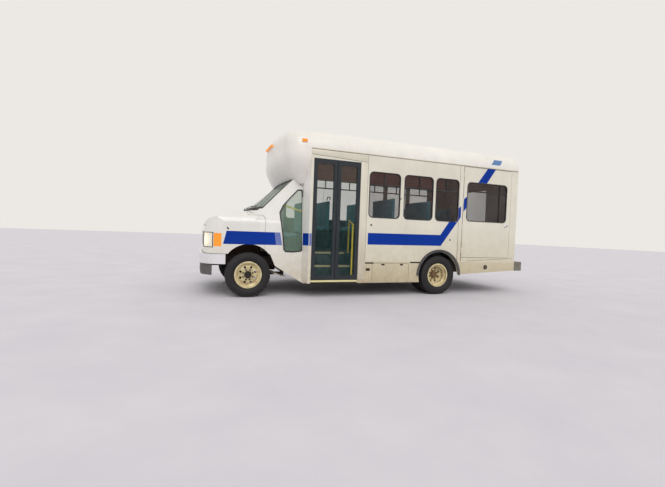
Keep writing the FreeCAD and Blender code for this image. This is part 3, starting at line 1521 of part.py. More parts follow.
def mirror():
    """Driver's mirror on two arms that stand out from the door."""
    inner, outer = CAB + 35, CAB + 185
    head = block(380, 430, -outer, -inner, 1380, 1640)
    edges = [e for e in head.Edges if abs(e.tangentAt(e.FirstParameter).x) > 0.9]
    head = head.makeChamfer(25, edges)
    arms = [flat_bar(Vector(x_at(425), 20 - CAB, 1350), Vector(x_at(410), -inner - 60, 1400), 9, 8),
            flat_bar(Vector(x_at(470), 20 - CAB, 1350), Vector(x_at(415), -inner - 20, 1420), 9, 8)]
    feature("mirror", fused([head] + arms).cut(van_form(0)))


tail_lamps()
mirror()
doc.recompute()

for item in doc.Objects:
    if "Invalid" in item.State or "Error" in item.State:
        raise RuntimeError("%s didn't recompute" % item.Label)
for part in PARTS:
    if part.Shape.isNull() or not part.Shape.isValid():
        raise RuntimeError("%s has no valid shape" % part.Label)
os.makedirs("parts", exist_ok=True)
for part in PARTS:
    part.Shape.exportStep("parts/%s.step" % part.Label)
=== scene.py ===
import json
from math import asin, atan2, cos, exp, pi, radians, sin, sqrt

import bmesh
import bpy
from mathutils import Matrix, Vector


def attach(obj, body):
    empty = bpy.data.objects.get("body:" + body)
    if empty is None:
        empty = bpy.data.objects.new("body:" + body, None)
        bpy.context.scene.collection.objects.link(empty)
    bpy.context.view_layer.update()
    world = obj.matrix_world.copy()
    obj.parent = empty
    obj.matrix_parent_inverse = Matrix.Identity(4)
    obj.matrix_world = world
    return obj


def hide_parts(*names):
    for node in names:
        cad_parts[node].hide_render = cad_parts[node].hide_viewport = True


# Minibus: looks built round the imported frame. Metres, X forward, Y to the vehicle's left, Z up.
# Places along the vehicle are written in millimetres behind the front axle, as in the part.

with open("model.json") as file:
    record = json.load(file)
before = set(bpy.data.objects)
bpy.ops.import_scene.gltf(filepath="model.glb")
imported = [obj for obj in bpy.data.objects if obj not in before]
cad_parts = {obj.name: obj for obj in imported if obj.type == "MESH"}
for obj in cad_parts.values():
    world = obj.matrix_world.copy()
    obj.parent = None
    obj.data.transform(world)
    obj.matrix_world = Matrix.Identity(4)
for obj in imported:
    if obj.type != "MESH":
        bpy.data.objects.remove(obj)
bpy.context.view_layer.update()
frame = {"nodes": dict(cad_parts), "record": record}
nodes = frame["nodes"]

FRONT_AXLE = 2.3855
WHEELBASE = 3505
BODY_HALF = 1.195
CAB_HALF = 1.005
DRIP = 2.480
HUB = 0.365
LEFT, RIGHT = 1, -1
SIDES = (("left", LEFT), ("right", RIGHT))
# The cab leans in above its belt, over its rise; its half width, and these, in millimetres
CAB_WIDE, BELT, CAB_RISE, CAB_LEAN = 1005, 1180, 860, 115
# The nose's rounded corner in plan: where it starts behind the axle and off the middle, and its radius
NOSE_START, NOSE_FLAT, NOSE_RADIUS, NOSE_FACE = -370, 688.6, 316.4, 741
REAR_FACE = 5330


def x_of(s):
    return FRONT_AXLE - s / 1000


def pos(s, y, z):
    """Point at s millimetres behind the front axle, with y and z in metres."""
    return Vector((x_of(s), y, z))


def pos_mm(s, y, z):
    return pos(s, y / 1000, z / 1000)


def rgb(red, green, blue):
    """Colour written as screen values, turned to linear light."""
    def linear(v):
        v /= 255
        return v / 12.92 if v <= 0.04045 else ((v + 0.055) / 1.055) ** 2.4
    return (linear(red), linear(green), linear(blue), 1.0)


def linked(name, data):
    obj = bpy.data.objects.new(name, data)
    bpy.context.scene.collection.objects.link(obj)
    return obj


def shade(colour, factor):
    return tuple(min(1, c * factor) for c in colour[:3]) + (1,)


# Materials

class Graph:
    """Small helper that builds one procedural material."""

    def __init__(self, name):
        self.material = bpy.data.materials.new(name)
        self.material.use_nodes = True
        self.tree = self.material.node_tree
        self.shader = self.tree.nodes["Principled BSDF"]
        self.place = self.add("ShaderNodeTexCoord").outputs["Object"]

    def add(self, kind, **settings):
        node = self.tree.nodes.new(kind)
        for key, value in settings.items():
            setattr(node, key, value)
        return node

    def wire(self, source, target):
        self.tree.links.new(source, target)

    def scaled(self, x, y, z):
        node = self.add("ShaderNodeMapping")
        node.inputs["Scale"].default_value = (x, y, z)
        self.wire(self.place, node.inputs["Vector"])
        return node.outputs["Vector"]

    def texture(self, kind, sockets, place=None, **settings):
        node = self.add(kind, **settings)
        for key, value in sockets.items():
            node.inputs[key].default_value = value
        self.wire(place or self.place, node.inputs["Vector"])
        return node.outputs

    def noise(self, scale, detail=4.0, rough=0.6, place=None):
        sockets = {"Scale": scale, "Detail": detail, "Roughness": rough}
        return self.texture("ShaderNodeTexNoise", sockets, place)["Fac"]

    def ribs(self, scale):
        sockets = {"Scale": scale}
        return self.texture("ShaderNodeTexWave", sockets, wave_type="BANDS", bands_direction="Y")["Fac"]

    def band(self, value, low, high, out_low=0.0, out_high=1.0):
        node = self.add("ShaderNodeMapRange")
        node.inputs["From Min"].default_value = low
        node.inputs["From Max"].default_value = high
        node.inputs["To Min"].default_value = out_low
        node.inputs["To Max"].default_value = out_high
        self.wire(value, node.inputs["Value"])
        return node.outputs["Result"]

    def maths(self, kind, a, b=0):
        node = self.add("ShaderNodeMath", operation=kind)
        for socket, value in zip(node.inputs, (a, b)):
            if isinstance(value, (int, float)):
                socket.default_value = value
            else:
                self.wire(value, socket)
        return node.outputs["Value"]

    def axis(self, name):
        node = self.add("ShaderNodeSeparateXYZ")
        self.wire(self.place, node.inputs["Vector"])
        return node.outputs[name]

    def mix(self, amount, first, second):
        """Colour between two colours or sockets."""
        node = self.add("ShaderNodeMix", data_type="RGBA")
        for number, value in ((0, amount), (6, first), (7, second)):
            socket = node.inputs[number]
            if isinstance(value, (int, float, tuple)):
                socket.default_value = value
            else:
                self.wire(value, socket)
        return node.outputs[2]

    def colour(self, source):
        self.wire(source, self.shader.inputs["Base Color"])

    def rough(self, source):
        self.wire(source, self.shader.inputs["Roughness"])

    def bump(self, source, strength, distance):
        node = self.add("ShaderNodeBump")
        node.inputs["Strength"].default_value = strength
        node.inputs["Distance"].default_value = distance
        self.wire(source, node.inputs["Height"])
        self.wire(node.outputs["Normal"], self.shader.inputs["Normal"])

    def set(self, **values):
        for key, value in values.items():
            self.shader.inputs[key.replace("_", " ")].default_value = value


def paint(name, base, dirt, dirt_low, dirt_high, gloss=0.32, streaks=0.5, coat=0.25, most=0.8):
    """Old paint: patchy colour, dust that thickens downwards, and rain streaks."""
    g = Graph(name)
    patches = g.noise(1.7, 5, 0.6)
    colour = g.mix(g.band(patches, 0.35, 0.7), shade(base, 0.92), shade(base, 1.05))
    height = g.band(g.axis("Z"), dirt_low, dirt_high, 1.0, 0.0)
    streak = g.noise(1.0, 6, 0.65, g.scaled(9, 9, 0.9))
    grime = g.maths("MULTIPLY", g.band(streak, 0.5, 0.8), streaks)
    grain = g.band(g.noise(9, 6, 0.72), 0.35, 0.75)
    low_dirt = g.maths("MULTIPLY", height, g.maths("ADD", g.maths("MULTIPLY", grain, 0.6), 0.3))
    amount = g.maths("MINIMUM", g.maths("ADD", g.maths("MULTIPLY", grime, 0.35), low_dirt), most)
    g.colour(g.mix(amount, colour, dirt))
    g.rough(g.band(amount, 0, 1, gloss, 0.7))
    g.bump(g.noise(3.0, 2, 0.5), 0.1, 0.02)
    g.set(Coat_Weight=coat, Coat_Roughness=0.15)
    return g.material


def metal(name, base, rough, dark, scale=40, metallic=1.0, wear=0.5, relief=0.15):
    g = Graph(name)
    grain = g.noise(scale, 6, 0.7)
    g.colour(g.mix(g.band(grain, 0.5 - wear * 0.25, 0.8), base, dark))
    g.rough(g.band(grain, 0.3, 0.8, rough, min(1, rough + 0.3)))
    g.bump(grain, relief, 0.002)
    g.set(Metallic=metallic)
    return g.material


def plastic(name, base, rough, light, scale=60, grain=0.3):
    g = Graph(name)
    spots = g.noise(scale, 4, 0.6)
    g.colour(g.mix(g.band(g.noise(3, 5, 0.7), 0.4, 0.8, 0, 0.6), base, light))
    g.rough(g.band(spots, 0.3, 0.7, rough, min(1, rough + 0.15)))
    g.bump(g.noise(scale * 12, 2, 0.5), grain, 0.0006)
    return g.material


def glass(name, base, right_alpha, left_alpha, dust):
    """Tinted glass with a film of dust; the two sides of the vehicle may differ in tint."""
    g = Graph(name)
    film = g.noise(5, 5, 0.7)
    tint = g.band(g.axis("Y"), -0.9, 0.9, right_alpha, left_alpha)
    haze = g.band(g.noise(2, 2, 0.5), 0.3, 0.8, 0, dust)
    g.colour(g.mix(g.band(film, 0.45, 0.85, 0, 0.25), base, rgb(120, 118, 108)))
    g.wire(g.maths("ADD", tint, haze), g.shader.inputs["Alpha"])
    g.set(Roughness=0.04, IOR=1.5)
    return g.material


def lens_graph(name, base, glow, strength, scale):
    """Ribbed lamp lens."""
    g = Graph(name)
    ribs = g.ribs(scale)
    g.colour(g.mix(ribs, shade(base, 0.75), base))
    g.bump(ribs, 0.5, 0.003)
    g.set(Roughness=0.12, Coat_Weight=0.6)
    if strength:
        g.set(Emission_Color=glow, Emission_Strength=strength)
    return g


def lens(*values):
    return lens_graph(*values).material


def lit_lens(name, base, glow):
    """Headlamp lens, brightest in front of its bulb."""
    bulb_side, bulb_up = 0.760, 0.925
    g = lens_graph(name, base, glow, 0.1, 22)
    across = g.maths("SUBTRACT", g.maths("ABSOLUTE", g.axis("Y")), bulb_side)
    up = g.maths("SUBTRACT", g.axis("Z"), bulb_up)
    square = g.maths("ADD", g.maths("MULTIPLY", across, across), g.maths("MULTIPLY", up, up))
    away = g.maths("SQRT", square)
    g.wire(g.band(away, 0.02, 0.16, 0.9, 0.12), g.shader.inputs["Emission Strength"])
    return g.material


def rubber(name, base, dust, low=-9.0, high=-8.0):
    """Rubber with worn, dusty patches; below high the dust thickens down to low."""
    g = Graph(name)
    worn = g.noise(14, 6, 0.75)
    lower = g.band(g.axis("Z"), low, high, 0.35, 0.0)
    g.colour(g.mix(g.maths("ADD", g.band(worn, 0.42, 0.8, 0, 0.5), lower), base, dust))
    g.rough(g.band(worn, 0.3, 0.8, 0.6, 0.9))
    g.bump(g.noise(90, 3, 0.6), 0.25, 0.0015)
    return g.material


def cloth(name, base, second):
    """Woven seat cover with a fleck."""
    g = Graph(name)
    fleck = g.texture("ShaderNodeTexVoronoi", {"Scale": 55})["Distance"]
    weave = g.texture("ShaderNodeTexWave", {"Scale": 130, "Distortion": 1.5}, wave_type="BANDS",
                      bands_direction="DIAGONAL")["Fac"]
    tone = g.mix(g.band(fleck, 0.05, 0.16, 1, 0), base, second)
    g.colour(g.mix(g.band(weave, 0, 1, 0, 0.35), tone, shade(base, 0.5)))
    g.bump(weave, 0.35, 0.0015)
    g.set(Roughness=0.9, Sheen_Weight=0.35, Sheen_Roughness=0.5)
    return g.material


def checker_plate(name, base, dark):
    g = Graph(name)
    brick = g.texture("ShaderNodeTexBrick", {"Scale": 24, "Mortar Size": 0.03})["Fac"]
    grain = g.noise(30, 5, 0.7)
    g.colour(g.mix(g.band(grain, 0.4, 0.75), base, dark))
    g.bump(brick, 0.4, 0.002)
    g.rough(g.band(grain, 0.3, 0.8, 0.35, 0.7))
    g.set(Metallic=0.7)
    return g.material


def ribbed(name, base, dust):
    """Ribbed floor covering."""
    g = Graph(name)
    g.colour(g.mix(g.band(g.noise(6, 6, 0.7), 0.35, 0.75), base, dust))
    g.bump(g.ribs(25), 0.5, 0.003)
    g.set(Roughness=0.75)
    return g.material


M = {
    "body_white": paint("body_paint", rgb(211, 207, 193), rgb(188, 176, 150), 0.55, 1.3, 0.34, 0.45),
    "roof_white": paint("roof_gelcoat", rgb(222, 219, 212), rgb(186, 180, 166), -9, -8, 0.3, 0.25),
    "cab_white": paint("cab_paint", rgb(220, 218, 213), rgb(184, 168, 138), 0.25, 1.05, 0.2, 0.35, 0.6),
    "skirt_cream": paint("skirt_paint", rgb(196, 186, 160), rgb(150, 132, 102), 0.2, 0.66, 0.4, 0.6, 0.2),
    "door_black": plastic("door_frame_paint", rgb(14, 24, 32), 0.3, rgb(36, 44, 50)),
    "tinted_glass": glass("tinted_glass", rgb(34, 24, 30), 0.14, 0.30, 0.05),
    "clear_glass": glass("clear_glass", rgb(26, 74, 72), 0.14, 0.12, 0.04),
    "chrome_trim": metal("chrome", rgb(240, 240, 242), 0.12, rgb(214, 210, 206), 5, 0.85, 0.1, 0.01),
    "grey_steel": metal("bumper_grey", rgb(132, 129, 118), 0.55, rgb(92, 84, 68), 9, 0.3, 0.8),
    "dark_plastic": plastic("black_plastic", rgb(26, 26, 28), 0.5, rgb(58, 57, 54)),
    # The arch lips' pale grey is partly dust and partly a painted highlight along the lips.
    "lip_rubber": rubber("lip_rubber", rgb(46, 46, 52), rgb(104, 100, 98), 0.3, 0.9),
    "tyre_rubber": rubber("tyre_rubber", rgb(14, 13, 16), rgb(50, 45, 41)),
    "wheel_cream": metal("wheel_cream", rgb(214, 202, 160), 0.42, rgb(140, 112, 74), 12, 0.1, 0.45),
    "lamp_clear": lit_lens("headlamp_lens", rgb(226, 222, 208), rgb(255, 236, 190)),
    "lamp_amber": lens("amber_lens", rgb(246, 150, 20), rgb(255, 140, 10), 0.2, 26),
    "lamp_red": lens("red_lens", rgb(178, 24, 20), rgb(255, 30, 20), 0.0, 26),
    "chassis_black": metal("chassis_paint", rgb(30, 29, 31), 0.6, rgb(82, 70, 56), 11, 0.1, 0.7),
    "iron": metal("bare_iron", rgb(70, 64, 58), 0.6, rgb(98, 64, 42), 14, 0.5, 0.8),
    "floor_grey": ribbed("floor_covering", rgb(58, 64, 70), rgb(96, 94, 90)),
    "step_steel": checker_plate("step_plate", rgb(92, 100, 104), rgb(58, 60, 60)),
    # The seat cover's bright teal is partly its own colour and partly painted light on the seats inside the
    # body.
    "seat_blue": cloth("seat_weave", rgb(96, 156, 168), rgb(184, 210, 214)),
    "seat_frame": plastic("seat_frame_paint", rgb(36, 37, 40), 0.45, rgb(70, 70, 70)),
    "rail_yellow": plastic("rail_coat", rgb(222, 200, 40), 0.35, rgb(238, 220, 90), 30, 0.1),
    "cab_grey": plastic("cab_grey_plastic", rgb(84, 82, 84), 0.6, rgb(112, 108, 104)),
    "stripe_blue": paint("stripe_film", rgb(0, 48, 142), rgb(30, 66, 140), 0.2, 1.0, 0.42, 0.1, 0.0, 0.2),
    "stripe_faded": paint("stripe_film_faded", rgb(94, 108, 168), rgb(140, 144, 172), 0.2, 1.0, 0.4, 0.2,
                          0.0),
    "stripe_pale": paint("stripe_film_roof", rgb(76, 118, 166), rgb(120, 150, 184), -9, -8, 0.3, 0.2, 0.1),
    "trim_white": paint("trim_paint", rgb(206, 200, 184), rgb(176, 162, 136), 0.3, 1.2, 0.3, 0.5),
    "seam_dark": metal("seam_shadow", rgb(112, 102, 88), 0.8, rgb(78, 66, 54), 30, 0.0, 0.6),
    "seam_rust": metal("rusty_seam", rgb(150, 128, 98), 0.8, rgb(88, 56, 36), 22, 0.0, 0.9),
    "black_hole": plastic("deep_shadow", rgb(12, 12, 13), 0.9, rgb(20, 20, 20)),
    "hub_iron": metal("hub_iron", rgb(54, 44, 38), 0.6, rgb(28, 22, 18), 24, 0.4, 0.8),
    "nosing": plastic("step_nosing", rgb(206, 196, 140), 0.5, rgb(226, 220, 190)),
    "mirror_glass": metal("mirror_glass", rgb(220, 224, 226), 0.03, rgb(190, 194, 196), 3, 1.0, 0.1),
    "brown_panel_painted_glow": plastic("brown_panel_painted_glow", rgb(176, 130, 116), 0.7, rgb(196, 156, 140)),
    # The screen's pale green base colour is partly its green tint and partly painted reflection on the glass.
    "screen_glass": glass("screen_glass", rgb(140, 170, 148), 0.24, 0.2, 0.04),
    "valance_grey": plastic("valance_grey", rgb(78, 75, 74), 0.55, rgb(104, 100, 96)),
    "hub_tan": metal("hub_tan", rgb(132, 104, 74), 0.6, rgb(70, 50, 36), 20, 0.2, 0.7),
}


def adjust(key, **values):
    shader = M[key].node_tree.nodes["Principled BSDF"]
    for name, value in values.items():
        shader.inputs[name.replace("_", " ")].default_value = value


adjust("stripe_blue", Specular_IOR_Level=0.12)
# The brown lining glows faintly: painted light that stands in for the daylight inside the body.
adjust("brown_panel_painted_glow", Emission_Color=rgb(150, 112, 100), Emission_Strength=0.16)

NODE_LOOKS = {row["node"]: row["material_slot"] for row in frame["record"]["subparts"]}
NODE_LOOKS.update({"front_valance": "valance_grey", "cab_glass": "screen_glass"})
for name, node in nodes.items():
    node.data.materials.clear()
    node.data.materials.append(M[NODE_LOOKS[name]])


# Mesh making

class Shape:
    """Collects solids into one mesh."""

    def __init__(self):
        self.verts = []
        self.faces = []

    def add(self, verts, faces):
        base = len(self.verts)
        self.verts += [Vector(v) for v in verts]
        self.faces += [[base + i for i in f] for f in faces]
        return self

    def box(self, a, b):
        """Box between two corners."""
        (x0, y0, z0), (x1, y1, z1) = [[f(p, q) for p, q in zip(a, b)] for f in (min, max)]
        verts = [(x, y, z) for z in (z0, z1) for x, y in ((x0, y0), (x1, y0), (x1, y1), (x0, y1))]
        return self.add(verts, [(3, 2, 1, 0), (4, 5, 6, 7), (0, 1, 5, 4), (1, 2, 6, 5), (2, 3, 7, 6),
                                (3, 0, 4, 7)])

    def prism(self, outline, lift):
        """Flat outline of points raised along lift."""
        points = [Vector(p) for p in outline]
        count = len(points)
        top = [p + Vector(lift) for p in points]
        sides = [(i, (i + 1) % count, count + (i + 1) % count, count + i) for i in range(count)]
        return self.add(points + top, [tuple(range(count))[::-1], tuple(range(count, 2 * count))] + sides)

    def loops(self, rings, closed=True):
        """Skin through rings of equal point counts; closed joins the last ring to the first,
        and otherwise both end rings are filled."""
        count = len(rings[0])
        verts = [p for ring in rings for p in ring]
        faces = []
        for r in range(len(rings) if closed else len(rings) - 1):
            following = (r + 1) % len(rings)
            for i in range(count):
                j = (i + 1) % count
                faces.append((r * count + i, r * count + j, following * count + j, following * count + i))
        if not closed:
            faces.append(tuple(range(count))[::-1])
            faces.append(tuple((len(rings) - 1) * count + i for i in range(count)))
        return self.add(verts, faces)

    def tube(self, points, radius, sides=10):
        """Round bar along the points."""
        points = [Vector(p) for p in points]
        rings = []
        side = None
        for index, point in enumerate(points):
            before, after = points[max(index - 1, 0)], points[min(index + 1, len(points) - 1)]
            way = (after - before).normalized()
            if side is None:
                side = way.orthogonal().normalized()
            side = (side - way * side.dot(way)).normalized()
            other = way.cross(side)
            rings.append([point + (side * cos(a) + other * sin(a)) * radius
                          for a in [2 * pi * n / sides for n in range(sides)]])
        return self.loops(rings, False)

    def lathe(self, section, centre, turns=40, axis="Y"):
        """Turns a closed section of (radius, along the axis) about an axis through centre."""
        centre = Vector(centre)
        rings = []
        for n in range(turns):
            a = 2 * pi * n / turns
            if axis == "Y":
                rings.append([centre + Vector((r * cos(a), d, r * sin(a))) for r, d in section])
            else:
                rings.append([centre + Vector((d, r * cos(a), r * sin(a))) for r, d in section])
        return self.loops(rings)

    def disc(self, centre, axis, radius, depth, sides=24):
        centre, axis = Vector(centre), Vector(axis).normalized()
        return self.tube([centre, centre + axis * depth], radius, sides)

    def finish(self, name, material, body="root", slot=None, bevel=0.0, sharp=35, segments=2, cutters=()):
        """The piece as an object with its material; the slot argument is not used."""
        mesh = bpy.data.meshes.new(name)
        bm = bmesh.new()
        made = [bm.verts.new(v) for v in self.verts]
        for face in self.faces:
            try:
                bm.faces.new([made[i] for i in face])
            except ValueError:
                pass
        bmesh.ops.remove_doubles(bm, verts=bm.verts, dist=1e-6)
        bmesh.ops.recalc_face_normals(bm, faces=bm.faces)
        if bevel:
            edges = [e for e in bm.edges
                     if len(e.link_faces) == 2 and e.calc_face_angle(0) > radians(sharp)]
            bmesh.ops.bevel(bm, geom=edges, offset=bevel, segments=segments, affect="EDGES", profile=0.5,
                            clamp_overlap=True)
        bm.to_mesh(mesh)
        bm.free()
        obj = linked(name, mesh)
        if cutters:
            carve(obj, cutters)
        obj.data.shade_smooth()
        obj.data.set_sharp_from_angle(angle=radians(sharp))
        obj.data.materials.clear()
        obj.data.materials.append(M[material])
        if body:
            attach(obj, body)
        return obj


def evaluated(obj):
    return bpy.data.meshes.new_from_object(obj.evaluated_get(bpy.context.evaluated_depsgraph_get()))


def applied(obj):
    """The object with its modifiers worked into its mesh."""
    bpy.context.view_layer.update()
    mesh = evaluated(obj)
    obj.modifiers.clear()
    obj.data = mesh
    return obj


def carve(obj, cutters):
    """Cuts closed shapes out of a piece."""
    tools = []
    for number, cutter in enumerate(cutters):
        tool = cutter.finish("cutter_%d" % number, "black_hole", None)
        tools.append(tool)
        step = obj.modifiers.new("cut_%d" % number, "BOOLEAN")
        step.operation = "DIFFERENCE"
        step.solver = "EXACT"
        step.object = tool
    applied(obj)
    for tool in tools:
        bpy.data.objects.remove(tool)


def round_corners(x0, z0, x1, z1, radius, steps=6):
    """Outline of a rounded rectangle, as (across, up)."""
    points = []
    for cx, cz, start in ((x1 - radius, z0 + radius, -90), (x1 - radius, z1 - radius, 0),
                          (x0 + radius, z1 - radius, 90), (x0 + radius, z0 + radius, 180)):
        for n in range(steps + 1):
            a = radians(start + 90 * n / steps)
            points.append((cx + radius * cos(a), cz + radius * sin(a)))
    return points


def offset(points, out):
    """Closed outline moved outwards by a distance, with its corners kept."""
    area = sum(a[0] * b[1] - b[0] * a[1] for a, b in zip(points, points[1:] + points[:1]))
    sign = 1 if area > 0 else -1
    moved = []
    for before, point, after in zip(points[-1:] + points[:-1], points, points[1:] + points[:1]):
        a = Vector((point[0] - before[0], point[1] - before[1])).normalized()
        b = Vector((after[0] - point[0], after[1] - point[1])).normalized()
        na, nb = Vector((a.y, -a.x)) * sign, Vector((b.y, -b.x)) * sign
        middle = (na + nb).normalized()
        reach = out / max(middle.dot(na), 0.5)
        moved.append((point[0] + middle.x * reach, point[1] + middle.y * reach))
    return moved


def walk(corners, steps):
    """Corners of an outline with evenly spaced points between them."""
    points = []
    for number, (first, second) in enumerate(zip(corners, corners[1:] + corners[:1])):
        count = steps[number % len(steps)]
        for n in range(count):
            points.append([a + (b - a) * n / count for a, b in zip(first, second)])
    return points


def frame_ring(shape, s0, z0, s1, z1, radius, section, place):
    """Frame round a rounded opening; section is a closed list of (outward, depth) in millimetres."""
    rings = []
    for out, depth in section:
        outline = round_corners(s0 - out, z0 - out, s1 + out, z1 + out, max(radius + out, 2))
        rings.append([place(s, z, depth) for s, z in outline])
    return shape.loops(rings)


def outline_ring(shape, points, section, place):
    """Frame round an opening of any outline."""
    return shape.loops([[place(s, z, depth) for s, z in offset(points, out)] for out, depth in section])


def on_side(side, half=BODY_HALF * 1000):
    """Places (behind, up, depth inwards) on a body side."""
    return lambda s, z, depth: pos(s, side * (half - depth) / 1000, z / 1000)


def on_cab(side):
    """Places on the cab's side, which leans in above its belt."""
    def place(s, z, depth):
        lean = CAB_LEAN * max(z - BELT, 0) / CAB_RISE
        return pos(s, side * (CAB_WIDE - lean - depth) / 1000, z / 1000)
    return place


def on_rear(y, z, depth):
    return pos_mm(REAR_FACE - depth, y, z)


# How far behind and how far down a step into the screen goes
SCREEN_OUT = (0.652, 0.758)


def on_screen(y, z, depth):
    """Places (across, up) on the bowed and raked screen."""
    def bow(centre, corner, half):
        rise = corner - centre
        radius = (half ** 2 + rise ** 2) / (2 * rise)
        return centre + radius - sqrt(radius ** 2 - y ** 2)
    share = (z - BELT) / CAB_RISE
    s = (1 - share) * bow(-288, 22, CAB_WIDE) + share * bow(740, 788, CAB_WIDE - CAB_LEAN)
    return pos(s + SCREEN_OUT[0] * depth, y / 1000, (z - SCREEN_OUT[1] * depth) / 1000)


# Windows

GASKET = [(9, 0), (9, -4), (4, -6), (-6, -3), (-6, 22), (0, 22), (0, 0)]
LEFT_WINDOWS = [(2007, 2610), (2701, 3303), (3375, 3880)]
RIGHT_WINDOWS = [(1342 + 635 * n - 272, 1342 + 635 * n + 272) for n in range(6)]
WINDOW_LOW, WINDOW_HIGH, WINDOW_ROUND = 1391, 2179, 75
LIFT_WINDOW = (4085, 1418, 5052, 2159)
SIGHT_WINDOW = [(548, 1517), (679, 1666), (800, 1795), (862, 1800), (876, 1770), (880, 802), (860, 770),
                (726, 752), (600, 756), (572, 790), (547, 1029), (520, 1200), (493, 1400)]
DRIVER_WINDOW = [(455, 1440), (762, 1800), (812, 1800), (816, 1440)]
PANE_SEAL = [(13, -1), (11, -4), (2, -5), (-7, -3), (-8, 24), (0, 24), (0, 0), (12, 0)]


def body_windows():
    gaskets, bars = Shape(), Shape()
    for side, rows, high, bar in ((LEFT, LEFT_WINDOWS, WINDOW_HIGH, 1952),
                                  (RIGHT, RIGHT_WINDOWS, 2300, 2120)):
        at = on_side(side)
        y0, y1 = side * (BODY_HALF - 0.004), side * (BODY_HALF - 0.030)
        for number, (front, rear) in enumerate(rows):
            frame_ring(gaskets, front, WINDOW_LOW, rear, high, WINDOW_ROUND, GASKET, at)
            bars.box(pos(front + 4, y0, (bar - 12) / 1000), pos(rear - 4, y1, (bar + 12) / 1000))
            middle = (front + rear) / 2 + (18 if number % 2 else -14)
            bars.box(pos(middle - 9, y0, bar / 1000), pos(middle + 9, y1, (high - 4) / 1000))
    gaskets.finish("window_gaskets", "dark_plastic")
    bars.finish("window_slider_bars", "dark_plastic", bevel=0.002)
    front, low, rear, high = LIFT_WINDOW
    door = Shape()
    frame_ring(door, front, low, rear, high, WINDOW_ROUND, GASKET, on_side(LEFT))
    door.box(pos(front + 4, 1.191, 1.982), pos(rear - 4, 1.165, 2.004))
    door.box(pos(4872, 1.191, 1.422), pos(4888, 1.165, 2.155))
    door.finish("lift_window_gasket", "dark_plastic", "lift_door_leaf")
    back = Shape()
    frame_ring(back, -360, WINDOW_LOW, 360, WINDOW_HIGH, WINDOW_ROUND, GASKET, on_rear)
    back.finish("rear_window_gasket", "dark_plastic", "rear_door_leaf")
    seal = Shape()
    outline_ring(seal, SIGHT_WINDOW, PANE_SEAL, on_cab(LEFT))
    seal.finish("sight_window_seal", "dark_plastic", sharp=50)
    driver = Shape()
    outline_ring(driver, DRIVER_WINDOW, PANE_SEAL, on_cab(RIGHT))
    driver.finish("driver_window_seal", "dark_plastic", "driver_door_leaf", sharp=50)


body_windows()


# Screen, cowl and wipers

def screen_details():
    seal = Shape()
    edge = walk([(-855, 1478), (855, 1478), (800, 1985), (-800, 1985)], (16, 6))
    section = ((20, -0.5), (18, -4), (2, -5), (-8, -3), (-8, 16), (0, 16), (0, 0))
    outline_ring(seal, edge, section, on_screen)
    seal.finish("screen_seal", "dark_plastic", sharp=50)
    cowl = Shape()
    rows = []
    for n in range(25):
        y = -780 + 65 * n
        rows.append([on_screen(y, z, depth) for z, depth in ((1430, -1), (1434, -6), (1456, -6), (1460, -1))])
    cowl.loops(rows, False)
    cowl.finish("cowl_vent", "dark_plastic", sharp=50)
    wipers = Shape()
    for pivot, near, far in ((640, 590, 60), (-20, -80, -620)):
        middle = (near + far) / 2
        wipers.disc(on_screen(pivot, 1448, 0), (SCREEN_OUT[0], 0, SCREEN_OUT[1]), 0.016, 0.022, 16)
        wipers.tube([on_screen(pivot, 1448, -18), on_screen((pivot + middle) / 2, 1474, -26),
                     on_screen(middle, 1508, -16)], 0.0055, 8)
        shares = [n / 10 for n in range(11)]
        blade = [on_screen(near + (far - near) * n, 1500 + 4 * sin(pi * n), -9) for n in shares]
        wipers.tube(blade, 0.0065, 8)
    wipers.finish("wipers", "dark_plastic")


screen_details()


# Stripes

def decal(shape, points, y, side, thickness=0.0008):
    shape.prism([pos(s, side * y, z / 1000) for s, z in points], (0, side * thickness, 0))


def nose_side(s):
    """Half width of the van's nose at a place along the rounded corner, in metres."""
    if s > NOSE_START:
        return CAB_HALF
    return (NOSE_FLAT + sqrt(max(NOSE_RADIUS ** 2 - (s - NOSE_START) ** 2, 0))) / 1000


def curved_strip(shape, places, y_of, side, low, high, lift=0.0008):
    """Strip of film that follows a curved side; a place may be a pair, one for each edge."""
    rings = []
    for place in places:
        s0, s1 = place if isinstance(place, tuple) else (place, place)
        y0, y1 = side * y_of(s0), side * y_of(s1)
        rings.append([pos(s0, y0, low), pos(s1, y1, high),
                      pos(s1, y1 + side * lift, high), pos(s0, y0 + side * lift, low)])
    shape.loops(rings, False)


def corner_side(s):
    """Half width of the panel between the cab and the body, in metres."""
    share = max(0.0, min(1.0, (s - 882) / (940 - 882)))
    return 1.006 + share * (BODY_HALF - 1.006)


def roof_cove(z):
    """Half width of the roof at a height on its cove, in metres."""
    start = DRIP + 0.020
    if z <= start:
        return BODY_HALF
    return BODY_HALF - 0.320 + sqrt(max(0.320 ** 2 - (z - start) ** 2, 0))


def roof_stripe(shape, side):
    """Slanted strip over the drip rail and up the cove."""
    rows = [(2548, 4632, 4853), (2575, 4656, 4872), (2602, 4680, 4892), (2629, 4703, 4911),
            (2656, 4727, 4931)]
    rings = []
    for z, front, rear in rows:
        y = side * roof_cove(z / 1000)
        out = side * 0.0009
        rings.append([pos(front, y, z / 1000), pos(rear, y, z / 1000),
                      pos(rear, y + out, z / 1000 + 0.0006),
                      pos(front, y + out, z / 1000 + 0.0006)])
    shape.loops(rings, False)


